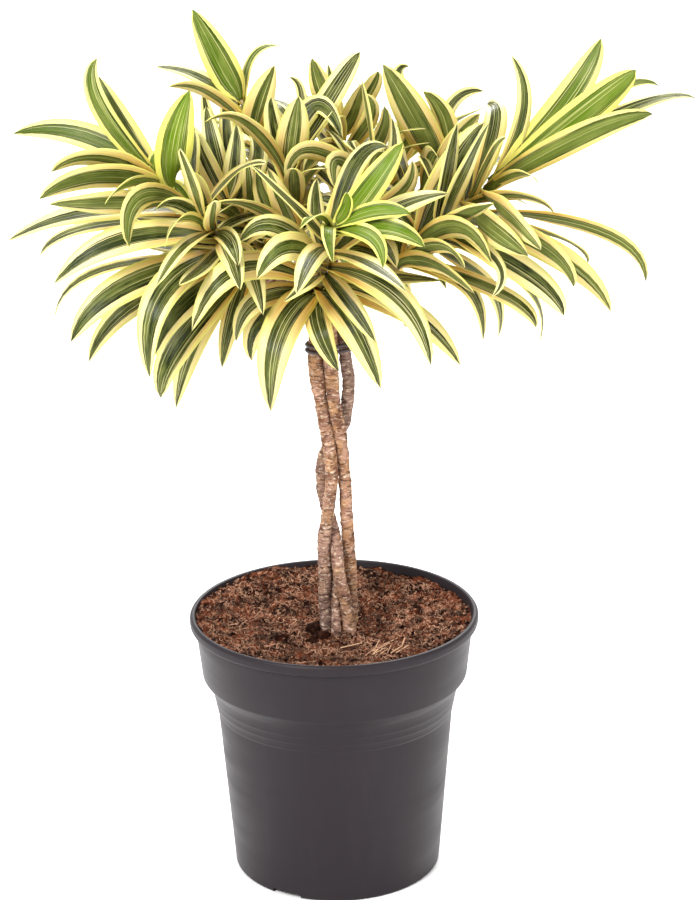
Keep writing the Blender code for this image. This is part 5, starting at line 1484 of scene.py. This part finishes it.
def cord_finish(look):
    """Soft PVC cord, extruded: dark, with a faint sheen and fine drawn lines."""
    material, add = new_finish("soft PVC cord, extruded")
    place = add("Mapping", {"Vector": add("UVMap", uv_map="cord"), "Scale": (9, 0.6, 1)})
    lines = add("TexNoise", {"Vector": place, "Scale": 1, "Detail": 2})
    colour = add("Mix", [lines, look.cord_dark, look.cord_worn], data_type="RGBA")
    bump = add("Bump", {"Height": lines, "Strength": 0.3, "Distance": 0.2 * MM})
    shader = add("BsdfPrincipled", {"Base Color": colour, "Normal": bump, "Roughness": 0.5})
    add("OutputMaterial", [shader])
    return material


def pot_finish(look):
    """Polypropylene, injection moulded: a dark satin skin with a fine grain, faint flow marks and soft
    vertical streaks of painted sheen.
    """
    material, add = new_finish("polypropylene, injection moulded")
    place = add("TexCoord").outputs["Object"]
    # The mould's grain is 0.1 mm, too fine to show, and is drawn at 0.7 mm.
    grain = add("TexNoise", {"Vector": place, "Scale": 1400, "Detail": 2})
    flowing = add("Mapping", {"Vector": place, "Scale": (9, 9, 70)})
    flow = add("TexNoise", {"Vector": flowing, "Scale": 1, "Detail": 4})
    # Painted sheen: soft lighter streaks that run up and down the pot stand in for its satin reflections.
    streaked = add("Mapping", {"Vector": place, "Scale": (60, 60, 14)})
    sheen_streaks = add("TexNoise", {"Vector": streaked, "Scale": 1, "Detail": 5})
    sheened = add("MapRange", [sheen_streaks, 0.5, 0.8, 0, 0.25])
    colour = add("Mix", [sheened, look.plastic, look.plastic_sheen], data_type="RGBA")
    rough = add("MapRange", [flow, 0.3, 0.7, look.roughness - 0.05, look.roughness + 0.07])
    height = add("Math", [grain, flow], operation="ADD")
    bump = add("Bump", {"Height": height, "Strength": 0.25, "Distance": 0.1 * MM})
    shader = add("BsdfPrincipled", {"Base Color": colour, "Normal": bump, "Roughness": rough, "IOR": 1.49,
                                    "Specular IOR Level": 0.18})
    add("OutputMaterial", [shader])
    return material


def coir_finish(name, look):
    """Coir and peat, milled and damp: matt reddish brown, with dark pits that are partly peat and partly
    painted shade, and tan chips.
    """
    material, add = new_finish(name)
    place = add("TexCoord").outputs["Object"]
    tone = add("Attribute", attribute_name="tone").outputs["Fac"]
    # Clods 12 mm across, chips of 2.5 mm that are each dark, red or tan, and dust of 0.8 mm.
    clods = add("TexNoise", {"Vector": place, "Scale": 85, "Detail": 4})
    chips = add("TexVoronoi", {"Vector": place, "Scale": 400})
    kinds = add("SeparateXYZ", [chips.outputs["Color"]])
    dust = add("TexNoise", {"Vector": place, "Scale": 1200, "Detail": 3})
    share = add("MapRange", [clods, 0.42, 0.58])
    base = add("Mix", [share, look.peat_and_pit_shade, look.coir_red], data_type="RGBA")
    # Painted shade: dark chips stand partly for peat and partly for the shade in pits between crumbs.
    pits = add("MapRange", [kinds, 0.1, 0.5, 0.55, 0])
    pit_shaded = add("Mix", [pits, base, look.peat_and_pit_shade], data_type="RGBA")
    chip = add("MapRange", [kinds.outputs["Y"], 0.55, 0.95, 0, 0.9])
    pale = add("MapRange", [tone, 0.5, 1, 0, 0.9])
    light = add("Math", [pale, chip], operation="MAXIMUM")
    speck = add("MapRange", [dust, 0.38, 0.6, 0, 1])
    mottled = add("Math", [light, speck], operation="MULTIPLY")
    dry = add("Mix", [mottled, pit_shaded, look.coir_tan], data_type="RGBA")
    # A tone below nothing marks a black lump of peat.
    peat = add("MapRange", [tone, -1, -0.5, 0.9, 0])
    colour = add("Mix", [peat, dry, look.peat_and_pit_shade], data_type="RGBA")
    height = add("Math", [dust, chips], operation="SUBTRACT")
    bump = add("Bump", {"Height": height, "Strength": 1, "Distance": 1.6 * MM})
    shader = add("BsdfPrincipled", {"Base Color": colour, "Normal": bump, "Roughness": 0.95,
                                    "Specular IOR Level": 0.06})
    add("OutputMaterial", [shader])
    return material


def fibre_finish(look):
    """Coconut fibre, dry: matt red-brown and tan strands, and a few of pale straw."""
    material, add = new_finish("coconut fibre, dry")
    tone = add("Attribute", attribute_name="tone").outputs["Fac"]
    share = add("MapRange", [tone, 0, 0.75])
    brown = add("Mix", [share, look.peat_and_pit_shade, look.coir_tan], data_type="RGBA")
    straw = add("MapRange", [tone, 0.9, 1])
    colour = add("Mix", [straw, brown, look.fibre], data_type="RGBA")
    shader = add("BsdfPrincipled", {"Base Color": colour, "Roughness": 0.9, "Specular IOR Level": 0.15})
    add("OutputMaterial", [shader])
    return material


def floor_finish(look):
    """Matt painted board, rolled: nearly white, with a faint orange peel."""
    material, add = new_finish("matt paint, rolled")
    peel = add("TexNoise", {"Vector": add("TexCoord").outputs["Object"], "Scale": 500, "Detail": 2})
    bump = add("Bump", {"Height": peel, "Strength": 0.1, "Distance": 0.2 * MM})
    shader = add("BsdfPrincipled", {"Base Color": look.floor, "Normal": bump, "Roughness": 0.9})
    add("OutputMaterial", [shader])
    return material


def build_floor(look):
    """A plain pale floor for the pot to stand on."""
    work = bmesh.new()
    bmesh.ops.create_grid(work, x_segments=1, y_segments=1, size=30)
    mesh = bpy.data.meshes.new("floor")
    work.to_mesh(mesh)
    work.free()
    mesh.materials.append(floor_finish(look))
    floor = bpy.data.objects.new("floor", mesh)
    bpy.context.scene.collection.objects.link(floor)


def add_light(name, place, size, power, aim=(0, 0, 0.35)):
    """A soft square lamp that faces the middle of the plant, or another place."""
    lamp = bpy.data.lights.new(name, "AREA")
    lamp.shape = "SQUARE"
    lamp.size = size
    lamp.energy = power
    light = bpy.data.objects.new(name, lamp)
    light.location = place
    light.rotation_euler = (Vector(aim) - Vector(place)).to_track_quat("-Z", "Y").to_euler()
    bpy.context.scene.collection.objects.link(light)


def build_camera():
    """The camera stands where the front view is seen from."""
    rightward, upward, ahead = VIEW_AXES
    data = bpy.data.cameras.new("front_view")
    data.sensor_fit = "VERTICAL"
    data.sensor_height = 36
    data.lens = VIEW_FOCAL / VIEW_PIXELS_HIGH * data.sensor_height
    data.clip_end = 50
    camera = bpy.data.objects.new("front_view", data)
    turn = Matrix((rightward, upward, -ahead)).transposed().to_4x4()
    camera.matrix_world = Matrix.Translation(EYE) @ turn
    bpy.context.scene.collection.objects.link(camera)
    bpy.context.scene.camera = camera


def build_stage(look):
    """Floor, even white surroundings, four soft lamps and the camera."""
    scene = bpy.context.scene
    build_floor(look)
    world = bpy.data.worlds.new("white_room")
    world.use_nodes = True
    white = world.node_tree.nodes["Background"]
    white.inputs["Color"].default_value = (1, 1, 1, 1)
    white.inputs["Strength"].default_value = look.room_light
    scene.world = world
    add_light("key", (-1.3, -2.0, 2.3), 1.0, look.key_power)
    add_light("fill", (1.8, -1.6, 1.3), 1.6, look.fill_power)
    add_light("back", (0.4, 1.8, 2.2), 1.2, look.back_power)
    add_light("floor_light", (0, 4, 3), 3, look.floor_power, (0, 4, 0))
    scene.view_settings.view_transform = "Standard"
    scene.view_settings.look = "None"
    build_camera()


def colour_of(name, description, code):
    """A colour setting whose default is an sRGB hex value."""
    return bpy.props.FloatVectorProperty(name=name, description=description, subtype="COLOR", size=3,
                                         min=0, max=1, default=linear(code))


def length_of(name, description, size):
    """A length setting in metres."""
    return bpy.props.FloatProperty(name=name, description=description, default=size, min=0,
                                   unit="LENGTH", subtype="DISTANCE", precision=5)


def share_of(name, description, share, most=1):
    """A setting from nothing to a share."""
    return bpy.props.FloatProperty(name=name, description=description, default=share, min=0, max=most,
                                   subtype="FACTOR")


def power_of(name, description, watts):
    """A lamp's power in watts."""
    return bpy.props.FloatProperty(name=name, description=description, default=watts, min=0, unit="POWER")


def count_of(name, description, count):
    """A setting for how many of a thing there are."""
    return bpy.props.IntProperty(name=name, description=description, default=count, min=0)


class SONG_PG_pot(bpy.types.PropertyGroup):
    ring_depth: length_of("Ring depth", "How deep the moulded rings under the shoulder are", 0.8 * MM)
    roughness: share_of("Roughness", "How dull the plastic is", 0.42)
    plastic: colour_of("Plastic", "Colour of the moulded plastic", "#262024")
    # Painted sheen: the lighter colour of the soft vertical streaks on the plastic.
    plastic_sheen: colour_of("Scuffed plastic", "Colour where the plastic is scuffed", "#322B30")


class SONG_PG_coir(bpy.types.PropertyGroup):
    crumbs: count_of("Crumbs", "How many loose crumbs lie on the coir", 3200)
    crumb_size: length_of("Crumb size", "Radius of a common crumb", 1.5 * MM)
    fibres: count_of("Fibres", "How many coconut fibres lie on the coir", 3400)
    coir_red: colour_of("Coir", "Reddish brown of damp coir", "#703C26")
    # Peat: the dark of peat, also used for painted shade in the coir's pits.
    peat_and_pit_shade: colour_of("Peat", "Dark brown of peat and deep pits", "#200C05")
    coir_tan: colour_of("Chips", "Tan of dry chips", "#C49478")
    fibre: colour_of("Straw fibre", "Colour of dry fibres", "#D2B08A")


class SONG_PG_trunk(bpy.types.PropertyGroup):
    scar_spacing: length_of("Scar spacing", "Usual distance between two ring scars", 5.2 * MM)
    scar_depth: length_of("Scar depth", "How deep a ring scar is cut in a thick cane", 0.5 * MM)
    bark_tan: colour_of("Tan bark", "Light corky bark", "#C4946A")
    bark_brown: colour_of("Brown bark", "Darker patches of bark", "#784C34")
    bark_pink: colour_of("Pink bark", "Patches where fresh cork shows", "#C99C86")
    bark_pale: colour_of("Flakes", "Dry flakes that catch the light", "#EED4BC")
    bark_grey: colour_of("Old bark", "Grey bark", "#7C6862")
    # Scar colour: the dark of the ring scars, and painted shade in the bottoms of scars and cracks.
    bark_scar_shade: colour_of("Scars", "Dark bottoms of scars and cracks", "#38211A")
    cord_dark: colour_of("Cord", "Colour of the tie", "#231A1C")
    cord_worn: colour_of("Worn cord", "Colour of the tie's drawn lines", "#4B3A3C")


class SONG_PG_leaf(bpy.types.PropertyGroup):
    thickness: length_of("Thickness", "Thickness of a blade", 0.6 * MM)
    ripple: length_of("Ripple", "How far a blade's margins wave", 0.7 * MM)
    margin_share: share_of("Margin", "Width of a cream margin as a share of the leaf", 0.25, most=0.5)
    glow: share_of("Glow", "How much light passes through a blade", 0.15)
    green_deep: colour_of("Deep green", "Middle of a grown leaf", "#1C2600")
    # Pale green serves the leaves' real hairlines and also their patches of painted sheen.
    pale_green_and_sheen: colour_of("Pale green", "Hairlines and worn places", "#90984C")
    green_fresh: colour_of("Fresh green", "Middle of a young leaf", "#5E7E00")
    green_under: colour_of("Grey green", "Middle of a leaf's underside", "#58622A")
    margin_cream: colour_of("Cream", "Margins of a grown leaf", "#F0E8A4")
    margin_gold: colour_of("Gold", "Margins near the stem", "#D09A2A")
    margin_fresh: colour_of("Lemon", "Margins of a young leaf", "#E8E670")
    margin_under: colour_of("Pale cream", "Margins of the underside", "#E2D290")
    stem_green: colour_of("Stem green", "Young stem", "#7D8A3C")
    stem_tan: colour_of("Stem tan", "Stem that turns to bark", "#A98A5E")


class SONG_PG_stage(bpy.types.PropertyGroup):
    floor: colour_of("Floor", "Colour of the floor", "#FBFBFA")
    room_light: bpy.props.FloatProperty(name="Room light", description="Strength of the white surroundings",
                                        default=1, min=0)
    key_power: power_of("Key lamp", "Power of the lamp at the front left", 80)
    fill_power: power_of("Fill lamp", "Power of the lamp at the front right", 15)
    back_power: power_of("Back lamp", "Power of the lamp behind", 60)
    floor_power: power_of("Floor lamp", "Power of the lamp over the floor behind", 130)


class SONG_OT_pot(bpy.types.Operator):
    """Build the moulded pot with its beaded rim, collar and rings"""
    bl_idname = "song.pot"
    bl_label = "Pot"

    def execute(self, context):
        build_pot(context.scene.song_pot)
        return {"FINISHED"}


class SONG_OT_coir(bpy.types.Operator):
    """Build the coir that fills the pot, with its crumbs and fibres"""
    bl_idname = "song.coir"
    bl_label = "Coir"

    def execute(self, context):
        look = context.scene.song_coir
        build_coir(look)
        build_crumbs(look)
        build_fibres(look)
        return {"FINISHED"}


class SONG_OT_trunk(bpy.types.Operator):
    """Build the four braided canes with their branches"""
    bl_idname = "song.trunk"
    bl_label = "Canes"

    def execute(self, context):
        build_canes(context.scene.song_trunk, cane_lines(), shoot_arcs())
        return {"FINISHED"}


class SONG_OT_tie(bpy.types.Operator):
    """Build the cord that ties the canes"""
    bl_idname = "song.tie"
    bl_label = "Tie"

    def execute(self, context):
        build_tie(context.scene.song_trunk, cane_lines())
        return {"FINISHED"}


class SONG_OT_shoots(bpy.types.Operator):
    """Build the thirteen leafy shoots"""
    bl_idname = "song.shoots"
    bl_label = "Leafy shoots"

    def execute(self, context):
        build_shoots(context.scene.song_leaf, cane_lines(), shoot_arcs())
        return {"FINISHED"}


class SONG_OT_stage(bpy.types.Operator):
    """Build the floor, the lights and the camera"""
    bl_idname = "song.stage"
    bl_label = "Stage"

    def execute(self, context):
        build_stage(context.scene.song_stage)
        return {"FINISHED"}


SETTINGS = (("song_pot", SONG_PG_pot), ("song_coir", SONG_PG_coir), ("song_trunk", SONG_PG_trunk),
            ("song_leaf", SONG_PG_leaf), ("song_stage", SONG_PG_stage))
OPERATORS = (SONG_OT_pot, SONG_OT_coir, SONG_OT_trunk, SONG_OT_tie, SONG_OT_shoots, SONG_OT_stage)


class SONG_PT_panel(bpy.types.Panel):
    """The plant's settings and the steps that build it"""
    bl_idname = "SONG_PT_panel"
    bl_label = "Song of India"
    bl_space_type = "VIEW_3D"
    bl_region_type = "UI"
    bl_category = "Song of India"

    def draw(self, context):
        for name, group in SETTINGS:
            box = self.layout.box()
            look = getattr(context.scene, name)
            for setting in group.__annotations__:
                box.prop(look, setting)
        for operator in OPERATORS:
            self.layout.operator(operator.bl_idname)


def register():
    for name, group in SETTINGS:
        bpy.utils.register_class(group)
        setattr(bpy.types.Scene, name, bpy.props.PointerProperty(type=group))
    for operator in OPERATORS:
        bpy.utils.register_class(operator)
    bpy.utils.register_class(SONG_PT_panel)


def unregister():
    bpy.utils.unregister_class(SONG_PT_panel)
    for operator in reversed(OPERATORS):
        bpy.utils.unregister_class(operator)
    for name, group in reversed(SETTINGS):
        delattr(bpy.types.Scene, name)
        bpy.utils.unregister_class(group)


def main():
    register()
    bpy.ops.song.pot()
    bpy.ops.song.coir()
    bpy.ops.song.trunk()
    bpy.ops.song.tie()
    bpy.ops.song.shoots()
    bpy.ops.song.stage()


if __name__ == "__main__":
    main()
